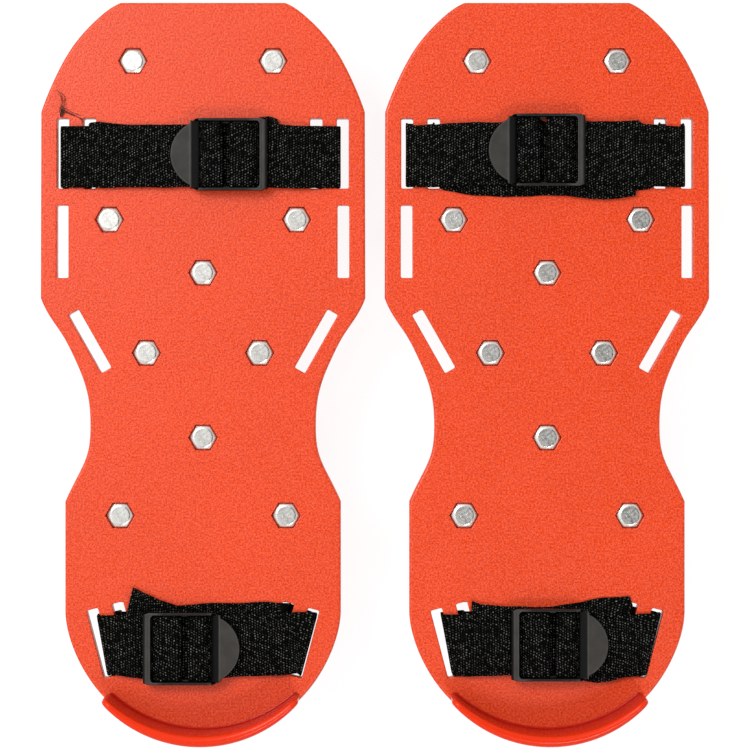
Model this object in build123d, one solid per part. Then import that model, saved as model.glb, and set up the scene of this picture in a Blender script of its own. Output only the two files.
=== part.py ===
"""Strap-on spiked soles for shoes, one pair.

Each sole is a moulded plastic plate with a raised heel lip, ten hex-head
spikes held by nuts and washers from below, and two webbing straps that run
under the plate, come up through the side slots and meet in a ladder-lock
buckle on top.  Millimetres, +Z up, +Y towards the toes, +X to the wearer's
right.  The spike points stand on Z = 0.
"""
from build123d import *
import os
from math import cos, sin, tan, radians, hypot

os.makedirs("parts", exist_ok=True)

# ---- layout of the pair -----------------------------------------------------
CLEAT_X = 69.3          # half the distance between the two centre lines
SHIFT_Y = -1.3          # puts the pair's box centre on Y = 0

# ---- sole plate -------------------------------------------------------------
PLATE_T = 6.0           # plate thickness
PLATE_TOP = 37.0        # height of the plate's top face over the spike points
PLATE_BOT = PLATE_TOP - PLATE_T
EDGE_R = 1.0            # rounding of the plate's top rim
TOE_Y = 150.0
TOE_FLAT = 33.1         # half length of the straight toe edge
SIDE_X = 65.4           # half width over the ball of the foot
HEEL_X = 55.5           # half width at the heel
WAIST_X = 45.4          # half width at the waist

# heel lip: crescent between two circles
LIP_H = 20.0            # height over the plate
LIP_RO, LIP_YO = 52.3, -95.0
LIP_RI, LIP_YI = 54.8, -87.7
LIP_HALF_ANGLE = 49.0
LIP_ROUND = 1.1

# slots: (centre x, centre y, length, width, lean outward at the top in degrees)
SLOTS = [
    (56.30, 89.25, 28.3, 4.8, 0.0),     # front outer
    (45.60, 89.25, 28.3, 5.0, 0.0),     # front inner
    (56.55, 53.75, 29.3, 4.7, 0.0),     # side
    (45.60, 13.60, 27.0, 4.8, 29.6),    # waist
    (41.08, -107.95, 28.0, 4.7, 14.7),  # heel outer
    (30.93, -105.28, 28.0, 4.7, 14.7),  # heel inner
]
SLOT_R = 0.5

# ---- spikes, nuts, washers --------------------------------------------------
SPIKES = {
    "toe_left": (-28.2, 126.5), "toe_right": (28.2, 126.5),
    "ball_left": (-37.7, 62.6), "ball_right": (37.7, 62.6),
    "ball_centre": (0.0, 41.2),
    "arch_left": (-22.8, 8.9), "arch_right": (22.8, 8.9),
    "waist_centre": (0.0, -25.2),
    "heel_left": (-33.4, -56.6), "heel_right": (33.4, -56.6),
}
HEAD_FLAT_R = 3.85      # flat disc inside the 30 degree chamfer
HEAD_AF = 9.9           # M6 hex head across flats, corners along X
HEAD_H = 4.0
POCKET_AF = 10.25
POCKET_D = 4.2
SHANK_R = 3.0
HOLE_R = 3.25
TIP_L = 11.0            # length of the conical point
TIP_R = 0.5
BOSS_R = 9.0
BOSS_H = 3.0
WASHER_R, WASHER_HOLE_R, WASHER_T = 6.2, 3.2, 1.6
NUT_AF, NUT_H, NUT_BORE_R = 10.0, 5.0, 3.03

# underside ribs
RIB_W, RIB_H = 2.0, 2.6
RIM_W = 2.4

# ---- webbing ----------------------------------------------------------------
WEB_W = 24.8
WEB_T = 0.95
# middle of the webbing's thickness, layer by layer
Z_UNDER = PLATE_BOT - 0.55      # round the rib between two slots, under the plate
Z_LOW = PLATE_TOP + 0.55        # run across the sole, under the foot
Z_TAIL = PLATE_TOP + 1.60       # loose end
Z_FIX = PLATE_TOP + 2.66        # end turned back under the second bar
Z_STRAND_A = PLATE_TOP + 2.30   # strand on the tab side
Z_STRAND_B = PLATE_TOP + 2.62   # strand on the end bar's side
Z_OVER = PLATE_TOP + 5.45       # over the buckle's bars

# ---- buckle, u along the strap (tab at -u), v across ------------------------
RAIL_V = 14.6
RAIL_T = 1.3
FRAME_U = 15.5
END_BAR_U, END_BAR_R = 13.9, 1.6
Z_PIVOT = PLATE_TOP + 4.7
BAR1 = (-8.4, -3.2)
BAR2 = (0.9, 7.8)
BAR_Z = (PLATE_TOP + 3.2, PLATE_TOP + 4.9)
TAB_BAR = (-15.5, -12.2)
TAB_Z = (PLATE_TOP + 3.2, PLATE_TOP + 5.4)
TAB_R, TAB_HALF = 13.8, 12.8
TAB_T = 1.8
TAB_TILT = 8.0

# where the webbing passes through the outer slots: x at the strap's middle and its
# change with y, for the left-hand and the right-hand leg
LEGS = {
    ("left", "front"): (-56.9, 0.0, 55.0, 0.0),
    ("right", "front"): (-56.45, 0.0, 55.2, 0.0),
    ("left", "heel"): (-40.17, -0.181, 42.32, 0.2595),
    ("right", "heel"): (-40.17, -0.19, 41.99, 0.2146),
}
# middle y of the run across the sole, and of the loose end where it is cut
LOW_Y = {("left", "front"): 88.8, ("right", "front"): 86.4, ("left", "heel"): -105.3, ("right", "heel"): -105.3}
TAIL_Y = {("left", "front"): 90.6, ("right", "front"): 86.6, ("left", "heel"): -99.5, ("right", "heel"): -104.4}
# strap sets: (cleat, which, strap centre y, buckle centre x, buckle centre y, tab side, tail ends)
#   the last number is the local x of the loose end's cut
SETS = [
    ("left", "front", 88.0, 10.7, 88.4, -1, 33.0),
    ("right", "front", 89.4, -0.4, 90.2, -1, 37.0),
    ("left", "heel", -109.0, -8.3, -109.7, 1, -31.0),
    ("right", "heel", -108.3, 0.8, -108.2, 1, -31.0),
]


def plate_outline():
    """Closed outline of the plate, symmetric about X = 0."""
    a = (TOE_FLAT, TOE_Y)
    b = (65.2, 106.0)
    c = (SIDE_X, 31.0)
    d = (HEEL_X, -51.0)
    e = (HEEL_X, -95.0)
    f = (0.0, LIP_YO - LIP_RO - 0.1)
    half = [
        Line((0, TOE_Y), a),
        Spline(a, (42.4, 143.7), (52.4, 132.6), (60.0, 119.0), b,
               tangents=[(1.0, -0.38), (0.33, -1.0)]),
        Line(b, c),
        Spline(c, (60.9, 22.3), (56.3, 15.5), (52.4, 8.0), (48.9, 0.0), (46.3, -9.0),
               (WAIST_X, -20.0), (46.7, -32.0), (49.9, -39.5), (53.4, -46.4), d,
               tangents=[(-0.35, -1.0), (0.42, -1.0)]),
        Line(d, e),
        Spline(e, (53.7, -106.0), (49.4, -116.5), (45.5, -123.0), (40.4, -129.4),
               (25.0, -141.2), f, tangents=[(0.0, -1.0), (-1.0, 0.0)]),
    ]
    other = [h.mirror(Plane.YZ) for h in half]
    return Face(Wire(half + other))


def prism(face, z0, z1):
    return extrude(Pos(0, 0, z0) * face, amount=z1 - z0, dir=(0, 0, 1))


def slot_face(x, y, length, width, lean):
    """Rounded rectangle with its long side leaning outward at the top."""
    f = RectangleRounded(width, length, SLOT_R)
    return Pos(x, y, 0) * Rot(0, 0, -lean) * f


def lip_solid():
    outer = Pos(0, LIP_YO) * Circle(LIP_RO)
    inner = Pos(0, LIP_YI) * Circle(LIP_RI)
    k = 140.0
    s = radians(LIP_HALF_ANGLE)
    wedge = make_face(Polyline([(0, LIP_YO), (k * sin(s), LIP_YO - k * cos(s)),
                                (-k * sin(s), LIP_YO - k * cos(s)), (0, LIP_YO)]))
    sec = (outer - inner) & wedge
    body = prism(sec, PLATE_BOT + 0.5, PLATE_TOP + LIP_H)
    ends = [e for e in body.edges().filter_by(Axis.Z) if e.length > 5]
    body = fillet(ends, 1.0)
    top = body.faces().sort_by(Axis.Z)[-1]
    return fillet(top.edges(), LIP_ROUND)


def bar_between(p, q, w, z0, z1):
    """Straight rib between two points."""
    dx, dy = q[0] - p[0], q[1] - p[1]
    n = hypot(dx, dy)
    from math import atan2, degrees
    return Pos((p[0] + q[0]) / 2, (p[1] + q[1]) / 2, (z0 + z1) / 2) * Rot(0, 0, degrees(atan2(dy, dx))) * Box(n, w, z1 - z0)


def sole_plate():
    outline = plate_outline()
    body = prism(outline, PLATE_BOT, PLATE_TOP)
    rim = body.faces().sort_by(Axis.Z)[-1].edges()
    try:
        body = fillet(rim, EDGE_R)
    except Exception:
        pass
    body += lip_solid()
    # bosses and ribs under the plate
    under = None
    z0, z1 = PLATE_BOT - RIB_H, PLATE_BOT + 0.4
    P = SPIKES
    runs = [("toe_left", "toe_right"), ("ball_left", "ball_centre"), ("ball_right", "ball_centre"),
            ("arch_left", "ball_centre"), ("arch_right", "ball_centre"), ("arch_left", "arch_right"),
            ("arch_left", "waist_centre"), ("arch_right", "waist_centre"),
            ("heel_left", "waist_centre"), ("heel_right", "waist_centre"), ("heel_left", "heel_right"),
            ("ball_left", "ball_right")]
    for a, b in runs:
        body += bar_between(P[a], P[b], RIB_W, z0, z1)
    for sx in (-1, 1):
        body += bar_between((sx * 28.2, 126.5), (sx * 28.2, 105.0), RIB_W, z0, z1)
        body += bar_between((sx * 33.4, -56.6), (sx * 33.4, -91.0), RIB_W, z0, z1)
        body += bar_between((sx * 37.7, 62.6), (sx * 37.7, 73.0), RIB_W, z0, z1)
    body += bar_between((-28.2, 105.0), (28.2, 105.0), RIB_W, z0, z1)
    body += bar_between((-22.0, -91.0), (22.0, -91.0), RIB_W, z0, z1)
    for x, y in P.values():
        body += Pos(x, y, PLATE_BOT - BOSS_H / 2 + 0.2) * Cylinder(BOSS_R, BOSS_H + 0.4)
    # slots
    for x, y, length, width, lean in SLOTS:
        for sx in (-1, 1):
            body -= prism(slot_face(sx * x, y, length, width, sx * lean), PLATE_BOT - 6, PLATE_TOP + 5)
    # pockets and holes
    af2r = 1.0 / cos(radians(30)) / 2
    for x, y in P.values():
        body -= Pos(x, y, PLATE_TOP - POCKET_D) * extrude(RegularPolygon(POCKET_AF * af2r, 6), amount=POCKET_D + 2)
        body -= Pos(x, y, PLATE_BOT) * Cylinder(HOLE_R, 40)
    return body


def spike():
    """Hex-head bolt with a long conical point, axis on Z through the origin."""
    af2r = 1.0 / cos(radians(30)) / 2
    z_head = PLATE_TOP - POCKET_D
    z_top = z_head + HEAD_H
    head = Pos(0, 0, z_head) * extrude(RegularPolygon(HEAD_AF * af2r, 6), amount=HEAD_H)
    c = HEAD_AF * af2r
    drop = (c + 1 - HEAD_FLAT_R) * tan(radians(30))
    prof = make_face(Polyline([(0, 0, z_head - 1), (c + 1, 0, z_head - 1), (c + 1, 0, z_top - drop),
                               (HEAD_FLAT_R, 0, z_top), (0, 0, z_top), (0, 0, z_head - 1)]))
    head = head & revolve(prof, Axis.Z, 360)
    shank = make_face(Polyline([(0, 0, 0), (TIP_R, 0, 0), (SHANK_R, 0, TIP_L), (SHANK_R, 0, z_head + 0.5),
                                (0, 0, z_head + 0.5), (0, 0, 0)]))
    return head + revolve(shank, Axis.Z, 360)


def nut():
    af2r = 1.0 / cos(radians(30)) / 2
    z1 = PLATE_BOT - BOSS_H - WASHER_T
    n = Pos(0, 0, z1 - NUT_H) * extrude(RegularPolygon(NUT_AF * af2r, 6), amount=NUT_H)
    c = NUT_AF * af2r
    prof = make_face(Polyline([(0, 0, z1 - NUT_H), (NUT_AF / 2 - 0.2, 0, z1 - NUT_H), (c + 0.05, 0, z1 - NUT_H + 0.6),
                               (c + 0.05, 0, z1), (0, 0, z1), (0, 0, z1 - NUT_H)]))
    n = n & revolve(prof, Axis.Z, 360)
    return n - Pos(0, 0, z1 - NUT_H / 2) * Cylinder(NUT_BORE_R, NUT_H + 4)


def washer():
    z1 = PLATE_BOT - BOSS_H
    w = Pos(0, 0, z1 - WASHER_T / 2) * Cylinder(WASHER_R, WASHER_T)
    return w - Pos(0, 0, z1 - WASHER_T / 2) * Cylinder(WASHER_HOLE_R, WASHER_T + 2)


def ribbon(points, t):
    """Closed polygon round an open line of (x, z) points, with mitred corners."""
    left, right = [], []
    n = len(points)
    for i, (x, z) in enumerate(points):
        def unit(a, b):
            d = hypot(b[0] - a[0], b[1] - a[1])
            return ((b[0] - a[0]) / d, (b[1] - a[1]) / d)
        if i == 0:
            d0 = d1 = unit(points[0], points[1])
        elif i == n - 1:
            d0 = d1 = unit(points[-2], points[-1])
        else:
            d0, d1 = unit(points[i - 1], points[i]), unit(points[i], points[i + 1])
        n0, n1 = (-d0[1], d0[0]), (-d1[1], d1[0])
        bx, bz = n0[0] + n1[0], n0[1] + n1[1]
        s = (t / 2) / ((bx * n0[0] + bz * n0[1]) / 1.0)
        left.append((x + bx * s, z + bz * s))
        right.append((x - bx * s, z - bz * s))
    return left + right[::-1]


def strap(side, which, yc, xb, yb, tab, tail_x):
    """One webbing strip: end turned back under the second bar, over that bar,
    strand, outer slot, round the rib, inner slot, across the sole, inner slot,
    round the rib, outer slot, strand, over the first bar, down between the bars,
    loose end."""
    xn, kn, xp, kp = LEGS[side, which]
    inner = (lambda y: 45.6) if which == "front" else (lambda y: 30.93 + tan(radians(14.7)) * (y + 105.28))
    b, end = xb * -tab, tail_x * -tab               # in the u direction
    low, tail = LOW_Y[side, which], TAIL_Y[side, which]
    y_in = yc if which == "front" else -105.3

    def out_a(y):
        return xn + kn * (y - yc) if tab < 0 else -(xp + kp * (y - yc))

    def out_b(y):
        return xp + kp * (y - yc) if tab < 0 else -(xn + kn * (y - yc))
    # rows of (u or a function of y, z, middle y)
    rows = [
        (b + 6.8, Z_FIX, yb), (b + 0.1, Z_FIX, yb), (b + 0.1, Z_OVER, yb), (b + 8.6, Z_OVER, yb), (b + 11.8, Z_STRAND_B, yb),
        (out_b, Z_STRAND_B, yc), (out_b, Z_UNDER, yc),
        (inner, Z_UNDER, y_in), (inner, Z_LOW, y_in), (inner(y_in) - 8, Z_LOW, low),
        (-inner(y_in) + 8, Z_LOW, low), (lambda y: -inner(y), Z_LOW, y_in), (lambda y: -inner(y), Z_UNDER, y_in),
        (out_a, Z_UNDER, yc), (out_a, Z_STRAND_A, yc),
        (b - 11.45, Z_STRAND_A, yb), (b - 9.5, Z_OVER, yb), (b - 2.45, Z_OVER, yb), (b - 2.45, Z_TAIL, yb), (end, Z_TAIL, tail),
    ]
    edges = []
    for k in (-1, 1):
        line, ys = [], []
        for u, z, y in rows:
            y += k * WEB_W / 2
            line.append((u(y) if callable(u) else u, z))
            ys.append(y)
        strip = ribbon(line, WEB_T)
        n = len(line)
        edges.append((strip[:n], strip[n:][::-1], ys))
    (a_left, a_right, a_y), (b_left, b_right, b_y) = edges
    sections = []
    for i in range(len(rows)):
        quad = [(a_left[i], a_y[i]), (b_left[i], b_y[i]), (b_right[i], b_y[i]), (a_right[i], a_y[i])]
        pts = [(u * -tab, y, z) for (u, z), y in quad]
        sections.append(pts)

    def facet(*corners):
        return Face(Wire.make_polygon([Vector(*c) for c in corners], close=True))
    faces = [facet(*sections[0]), facet(*sections[-1])]
    for p, q in zip(sections, sections[1:]):
        for k in range(4):
            j = (k + 1) % 4
            faces += [facet(p[k], p[j], q[j]), facet(p[k], q[j], q[k])]
    return Solid(Shell(faces)).fix()


def buckle(xb, yb, tab):
    """Ladder-lock frame with a rounded thumb tab, in place; u runs away from the tab."""
    # rails: side profile in the XZ plane
    zt = PLATE_TOP
    prof = [(-FRAME_U, zt + 3.0), (-12.5, zt + 2.3), (10.2, zt + 2.3), (12.6, zt + 3.1),
            (FRAME_U, zt + 3.9), (FRAME_U, zt + 5.6), (13.6, zt + 6.5), (-13.4, zt + 6.5), (-FRAME_U, zt + 5.5),
            (-FRAME_U, zt + 3.0)]
    face = make_face(Polyline([(u, 0, z) for u, z in prof]))
    out = None
    for v in (-1, 1):
        y0 = -RAIL_V if v < 0 else RAIL_V - RAIL_T
        rail = Pos(0, y0, 0) * extrude(face, amount=RAIL_T, dir=(0, 1, 0))
        out = rail if out is None else out + rail
    w = 2 * RAIL_V - 1.0
    out += Pos(END_BAR_U, 0, Z_PIVOT) * Rot(90, 0, 0) * Cylinder(END_BAR_R, w)
    for v in (-1, 1):                       # ledge inside each rail, under the webbing's edge
        out += Pos(0.2, v * (RAIL_V - RAIL_T - 0.3), zt + 2.75) * Box(20.4, 1.0, 0.9)
    for u0, u1 in (BAR1, BAR2):
        bar = Pos((u0 + u1) / 2, 0, (BAR_Z[0] + BAR_Z[1]) / 2) * Box(u1 - u0, w, BAR_Z[1] - BAR_Z[0])
        bar = fillet(bar.edges().filter_by(Axis.Y), 0.6)
        out += bar
    # tab bar: its inner face falls away steeply from the tab's flat
    z0, z1 = TAB_Z
    side = [(TAB_BAR[0], z0), (TAB_BAR[1], z0), (TAB_BAR[1], z0 + 0.3), (TAB_BAR[0] + 0.4, z1), (TAB_BAR[0], z1)]
    face = make_face(Polyline([(u, 0, z) for u, z in side + side[:1]]))
    out += Pos(0, -w / 2, 0) * extrude(face, amount=w, dir=(0, 1, 0))
    # thumb tab: segment of a circle beyond the tab bar
    chord_u = -FRAME_U + 0.6
    depth = TAB_R - (TAB_R ** 2 - TAB_HALF ** 2) ** 0.5
    cu = chord_u - (23.4 - FRAME_U + 0.6) + TAB_R
    seg = Pos(cu, 0) * Circle(TAB_R)
    keep = Pos(chord_u - 15, 0) * Rectangle(30, 2 * TAB_HALF)
    tabp = extrude(seg & keep, amount=TAB_T)
    tabp = Pos(chord_u, 0, TAB_Z[0] + 0.1) * Rot(0, TAB_TILT, 0) * Pos(-chord_u, 0, 0) * tabp
    out += tabp
    if tab > 0:
        out = Rot(0, 0, 180) * out
    return Pos(xb, yb, 0) * out


def write(shape, name):
    shape.label = name
    export_step(shape, f"parts/{name}.step")


plate = sole_plate()
one_spike, one_nut, one_washer = spike(), nut(), washer()
for side, sx in (("left", -1), ("right", 1)):
    at = Pos(sx * CLEAT_X, SHIFT_Y, 0)
    write(at * plate, f"{side}_sole_plate")
    for name, (x, y) in SPIKES.items():
        write(at * Pos(x, y, 0) * one_spike, f"{side}_spike_{name}")
    write(Compound(children=[at * Pos(x, y, 0) * one_nut for x, y in SPIKES.values()]), f"{side}_spike_nuts")
    write(Compound(children=[at * Pos(x, y, 0) * one_washer for x, y in SPIKES.values()]), f"{side}_spike_washers")
for side, which, yc, xb, yb, tab, tail_x in SETS:
    at = Pos((-1 if side == "left" else 1) * CLEAT_X, SHIFT_Y, 0)
    write(at * strap(side, which, yc, xb, yb, tab, tail_x), f"{side}_{which}_strap")
    write(at * buckle(xb, yb, tab), f"{side}_{which}_buckle")
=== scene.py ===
"""Looks for the pair of strap-on spiked soles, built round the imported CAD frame."""
import math

import bmesh
import bpy
import numpy as np
from mathutils import Matrix, Vector

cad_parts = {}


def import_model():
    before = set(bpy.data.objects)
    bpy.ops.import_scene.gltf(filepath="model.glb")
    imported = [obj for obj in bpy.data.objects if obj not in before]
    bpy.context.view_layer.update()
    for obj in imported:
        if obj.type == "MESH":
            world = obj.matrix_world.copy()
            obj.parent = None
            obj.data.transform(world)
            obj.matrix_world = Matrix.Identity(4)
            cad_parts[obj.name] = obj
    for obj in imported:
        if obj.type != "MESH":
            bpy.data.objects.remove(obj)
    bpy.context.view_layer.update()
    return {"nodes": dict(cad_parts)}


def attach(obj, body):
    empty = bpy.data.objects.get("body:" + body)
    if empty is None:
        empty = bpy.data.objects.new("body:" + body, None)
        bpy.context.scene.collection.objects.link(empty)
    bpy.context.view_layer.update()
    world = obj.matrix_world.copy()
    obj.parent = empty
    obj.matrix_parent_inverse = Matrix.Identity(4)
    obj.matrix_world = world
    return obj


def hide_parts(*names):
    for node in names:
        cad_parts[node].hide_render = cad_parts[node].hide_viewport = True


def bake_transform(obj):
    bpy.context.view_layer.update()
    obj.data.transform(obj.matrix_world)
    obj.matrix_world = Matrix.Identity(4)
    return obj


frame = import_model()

MM = 0.001
CLEAT_X = 69.3
SHIFT_Y = -1.3
TOP = 37.0          # plate top
BOT = 31.0          # plate underside
PIVOT_Z = 41.7
SIDES = (("left", -1), ("right", 1))

scene = bpy.context.scene
collection = scene.collection


# ---------------------------------------------------------------- small helpers
def link(name, mesh):
    ob = bpy.data.objects.new(name, mesh)
    collection.objects.link(ob)
    return ob


def mesh_from(name, verts, faces, smooth=True):
    me = bpy.data.meshes.new(name)
    me.from_pydata([tuple(v) for v in verts], [], faces)
    me.validate()
    me.update()
    if smooth:
        me.polygons.foreach_set("use_smooth", [True] * len(me.polygons))
    return me


def clean(me, dist=1e-6):
    bm = bmesh.new()
    bm.from_mesh(me)
    bmesh.ops.remove_doubles(bm, verts=bm.verts, dist=dist)
    bmesh.ops.dissolve_degenerate(bm, edges=bm.edges, dist=dist * 0.1)
    bmesh.ops.recalc_face_normals(bm, faces=bm.faces)
    bm.to_mesh(me)
    bm.free()
    me.update()
    return me


def apply_modifiers(ob):
    dg = bpy.context.evaluated_depsgraph_get()
    me = bpy.data.meshes.new_from_object(ob.evaluated_get(dg))
    ob.modifiers.clear()
    old = ob.data
    ob.data = me
    if old.users == 0:
        bpy.data.meshes.remove(old)
    return ob


def cubic(points, t0, t1, n):
    """Clamped cubic spline through points, n samples a span, last point left out."""
    p = np.array(points, float)
    h = np.linalg.norm(np.diff(p, axis=0), axis=1)
    k = len(p)
    a = np.zeros((k, k))
    b = np.zeros((k, 2))
    a[0, 0] = a[-1, -1] = 1
    b[0] = np.array(t0) / np.linalg.norm(t0)
    b[-1] = np.array(t1) / np.linalg.norm(t1)
    for i in range(1, k - 1):
        a[i, i - 1] = h[i]
        a[i, i] = 2 * (h[i - 1] + h[i])
        a[i, i + 1] = h[i - 1]
        b[i] = 3 * (h[i] * (p[i] - p[i - 1]) / h[i - 1] + h[i - 1] * (p[i + 1] - p[i]) / h[i])
    m = np.linalg.solve(a, b)
    out = []
    for i in range(k - 1):
        for s in np.arange(n) / n:
            h00, h10 = 2 * s**3 - 3 * s**2 + 1, s**3 - 2 * s**2 + s
            h01, h11 = -2 * s**3 + 3 * s**2, s**3 - s**2
            out.append(h00 * p[i] + h10 * h[i] * m[i] + h01 * p[i + 1] + h11 * h[i] * m[i + 1])
    return [tuple(q) for q in out]


def line(a, b, n):
    return [(a[0] + (b[0] - a[0]) * i / n, a[1] + (b[1] - a[1]) * i / n) for i in range(n)]


def offset(loop, d):
    """Moves a counter-clockwise loop's points inward by d."""
    p = np.array(loop, float)
    e0 = p - np.roll(p, 1, axis=0)
    e1 = np.roll(p, -1, axis=0) - p
    e0 /= np.linalg.norm(e0, axis=1)[:, None]
    e1 /= np.linalg.norm(e1, axis=1)[:, None]
    n0 = np.stack([-e0[:, 1], e0[:, 0]], 1)
    n1 = np.stack([-e1[:, 1], e1[:, 0]], 1)
    b = n0 + n1
    b /= np.maximum(np.einsum("ij,ij->i", b, n0), 0.3)[:, None]
    return p + b * d


# ---------------------------------------------------------------- materials
def material(name):
    m = bpy.data.materials.new(name)
    m.use_nodes = True
    nt = m.node_tree
    bsdf = nt.nodes["Principled BSDF"]
    return m, nt, bsdf


def node(nt, kind, **props):
    n = nt.nodes.new(kind)
    for k, v in props.items():
        if k == "inputs":
            for name, value in v.items():
                n.inputs[name].default_value = value
        else:
            setattr(n, k, v)
    return n


def ramp(nt, fac, stops, interpolation="LINEAR"):
    r = nt.nodes.new("ShaderNodeValToRGB")
    r.color_ramp.interpolation = interpolation
    els = r.color_ramp.elements
    els[0].position, els[0].color = stops[0][0], stops[0][1]
    els[1].position, els[1].color = stops[-1][0], stops[-1][1]
    for pos, col in stops[1:-1]:
        e = els.new(pos)
        e.color = col
    nt.links.new(fac, r.inputs["Fac"])
    return r


def math_node(nt, op, a, b=None, c=None, clamp=False):
    n = nt.nodes.new("ShaderNodeMath")
    n.operation = op
    n.use_clamp = clamp
    for i, v in enumerate((a, b, c)):
        if v is None:
            continue
        if isinstance(v, (int, float)):
            n.inputs[i].default_value = v
        else:
            nt.links.new(v, n.inputs[i])
    return n.outputs[0]


def mix_color(nt, fac, a, b, blend="MIX"):
    n = nt.nodes.new("ShaderNodeMix")
    n.data_type = "RGBA"
    n.blend_type = blend
    if isinstance(fac, (int, float)):
        n.inputs["Factor"].default_value = fac
    else:
        nt.links.new(fac, n.inputs["Factor"])
    for name, v in (("A", a), ("B", b)):
        s = [i for i in n.inputs if i.name == name and i.type == "RGBA"][0]
        if isinstance(v, tuple):
            s.default_value = v
        else:
            nt.links.new(v, s)
    return [o for o in n.outputs if o.type == "RGBA"][0]


def sole_material(name, base, dark, light, rough=0.46, grain=1.0, spec=0.4):
    """Moulded polypropylene with a fine spark-eroded grain."""
    m, nt, bsdf = material(name)
    co = node(nt, "ShaderNodeTexCoord")
    fine = node(nt, "ShaderNodeTexNoise", inputs={"Scale": 1350.0, "Detail": 3.0, "Roughness": 0.65})
    mid = node(nt, "ShaderNodeTexNoise", inputs={"Scale": 420.0, "Detail": 2.0, "Roughness": 0.5})
    broad = node(nt, "ShaderNodeTexNoise", inputs={"Scale": 26.0, "Detail": 2.0, "Roughness": 0.5})
    for t in (fine, mid, broad):
        nt.links.new(co.outputs["Object"], t.inputs["Vector"])
    tone = ramp(nt, fine.outputs["Fac"], [(0.36, dark), (0.5, base), (0.64, light)])
    soft = ramp(nt, broad.outputs["Fac"], [(0.35, (0.96, 0.96, 0.96, 1)), (0.65, (1.0, 1.0, 1.0, 1))])
    col = mix_color(nt, 1.0, tone.outputs["Color"], soft.outputs["Color"], "MULTIPLY")
    nt.links.new(col, bsdf.inputs["Base Color"])
    r = node(nt, "ShaderNodeMapRange", inputs={"From Min": 0.3, "From Max": 0.7, "To Min": rough - 0.07, "To Max": rough + 0.09})
    nt.links.new(mid.outputs["Fac"], r.inputs["Value"])
    nt.links.new(r.outputs["Result"], bsdf.inputs["Roughness"])
    h = math_node(nt, "ADD", fine.outputs["Fac"], math_node(nt, "MULTIPLY", mid.outputs["Fac"], 0.5))
    bump = node(nt, "ShaderNodeBump", inputs={"Strength": 0.55 * grain, "Distance": 0.00022})
    nt.links.new(h, bump.inputs["Height"])
    nt.links.new(bump.outputs["Normal"], bsdf.inputs["Normal"])
    bsdf.inputs["Specular IOR Level"].default_value = spec
    return m


def lip_material(name):
    """The same plastic, polished; its colour is darkened towards the lip's foot as painted shade in that corner."""
    m, nt, bsdf = material(name)
    co = node(nt, "ShaderNodeTexCoord")
    fine = node(nt, "ShaderNodeTexNoise", inputs={"Scale": 700.0, "Detail": 2.0, "Roughness": 0.5})
    nt.links.new(co.outputs["Object"], fine.inputs["Vector"])
    lip_shade_height = node(nt, "ShaderNodeAttribute", attribute_name="lip_shade_height")
    # painted shade: the red is darkened towards the lip's foot and down its inner wall
    tone = ramp(nt, lip_shade_height.outputs["Fac"], [(0.0, (0.40, 0.007, 0.0005, 1)), (0.3, (0.47, 0.009, 0.0005, 1)), (0.75, (0.60, 0.016, 0.001, 1)), (1.0, (0.64, 0.024, 0.001, 1))])
    soft = ramp(nt, fine.outputs["Fac"], [(0.35, (0.975, 0.975, 0.975, 1)), (0.65, (1.0, 1.0, 1.0, 1))])
    nt.links.new(mix_color(nt, 1.0, tone.outputs["Color"], soft.outputs["Color"], "MULTIPLY"), bsdf.inputs["Base Color"])
    r = node(nt, "ShaderNodeMapRange", inputs={"From Min": 0.3, "From Max": 0.7, "To Min": 0.20, "To Max": 0.30})
    nt.links.new(fine.outputs["Fac"], r.inputs["Value"])
    nt.links.new(r.outputs["Result"], bsdf.inputs["Roughness"])
    bump = node(nt, "ShaderNodeBump", inputs={"Strength": 0.08, "Distance": 0.0002})
    nt.links.new(fine.outputs["Fac"], bump.inputs["Height"])
    nt.links.new(bump.outputs["Normal"], bsdf.inputs["Normal"])
    bsdf.inputs["Specular IOR Level"].default_value = 0.2
    return m


def steel_material(name, base=(0.74, 0.73, 0.70, 1), rough=0.26, wear=True):
    """Bright zinc-plated steel."""
    m, nt, bsdf = material(name)
    co = node(nt, "ShaderNodeTexCoord")
    n1 = node(nt, "ShaderNodeTexNoise", inputs={"Scale": 900.0, "Detail": 4.0, "Roughness": 0.65})
    n2 = node(nt, "ShaderNodeTexNoise", inputs={"Scale": 260.0, "Detail": 2.0, "Roughness": 0.5})
    for t in (n1, n2):
        nt.links.new(co.outputs["Object"], t.inputs["Vector"])
    tint = ramp(nt, n2.outputs["Fac"], [(0.34, (base[0] * 0.80, base[1] * 0.80, base[2] * 0.78, 1)), (0.62, base)])
    nt.links.new(tint.outputs["Color"], bsdf.inputs["Base Color"])
    r = node(nt, "ShaderNodeMapRange", inputs={"From Min": 0.3, "From Max": 0.7, "To Min": rough - 0.06, "To Max": rough + 0.14})
    nt.links.new(n1.outputs["Fac"], r.inputs["Value"])
    nt.links.new(r.outputs["Result"], bsdf.inputs["Roughness"])
    bsdf.inputs["Metallic"].default_value = 1.0
    bump = node(nt, "ShaderNodeBump", inputs={"Strength": 0.25, "Distance": 0.00008})
    nt.links.new(n1.outputs["Fac"], bump.inputs["Height"])
    nt.links.new(bump.outputs["Normal"], bsdf.inputs["Normal"])
    return m


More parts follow.
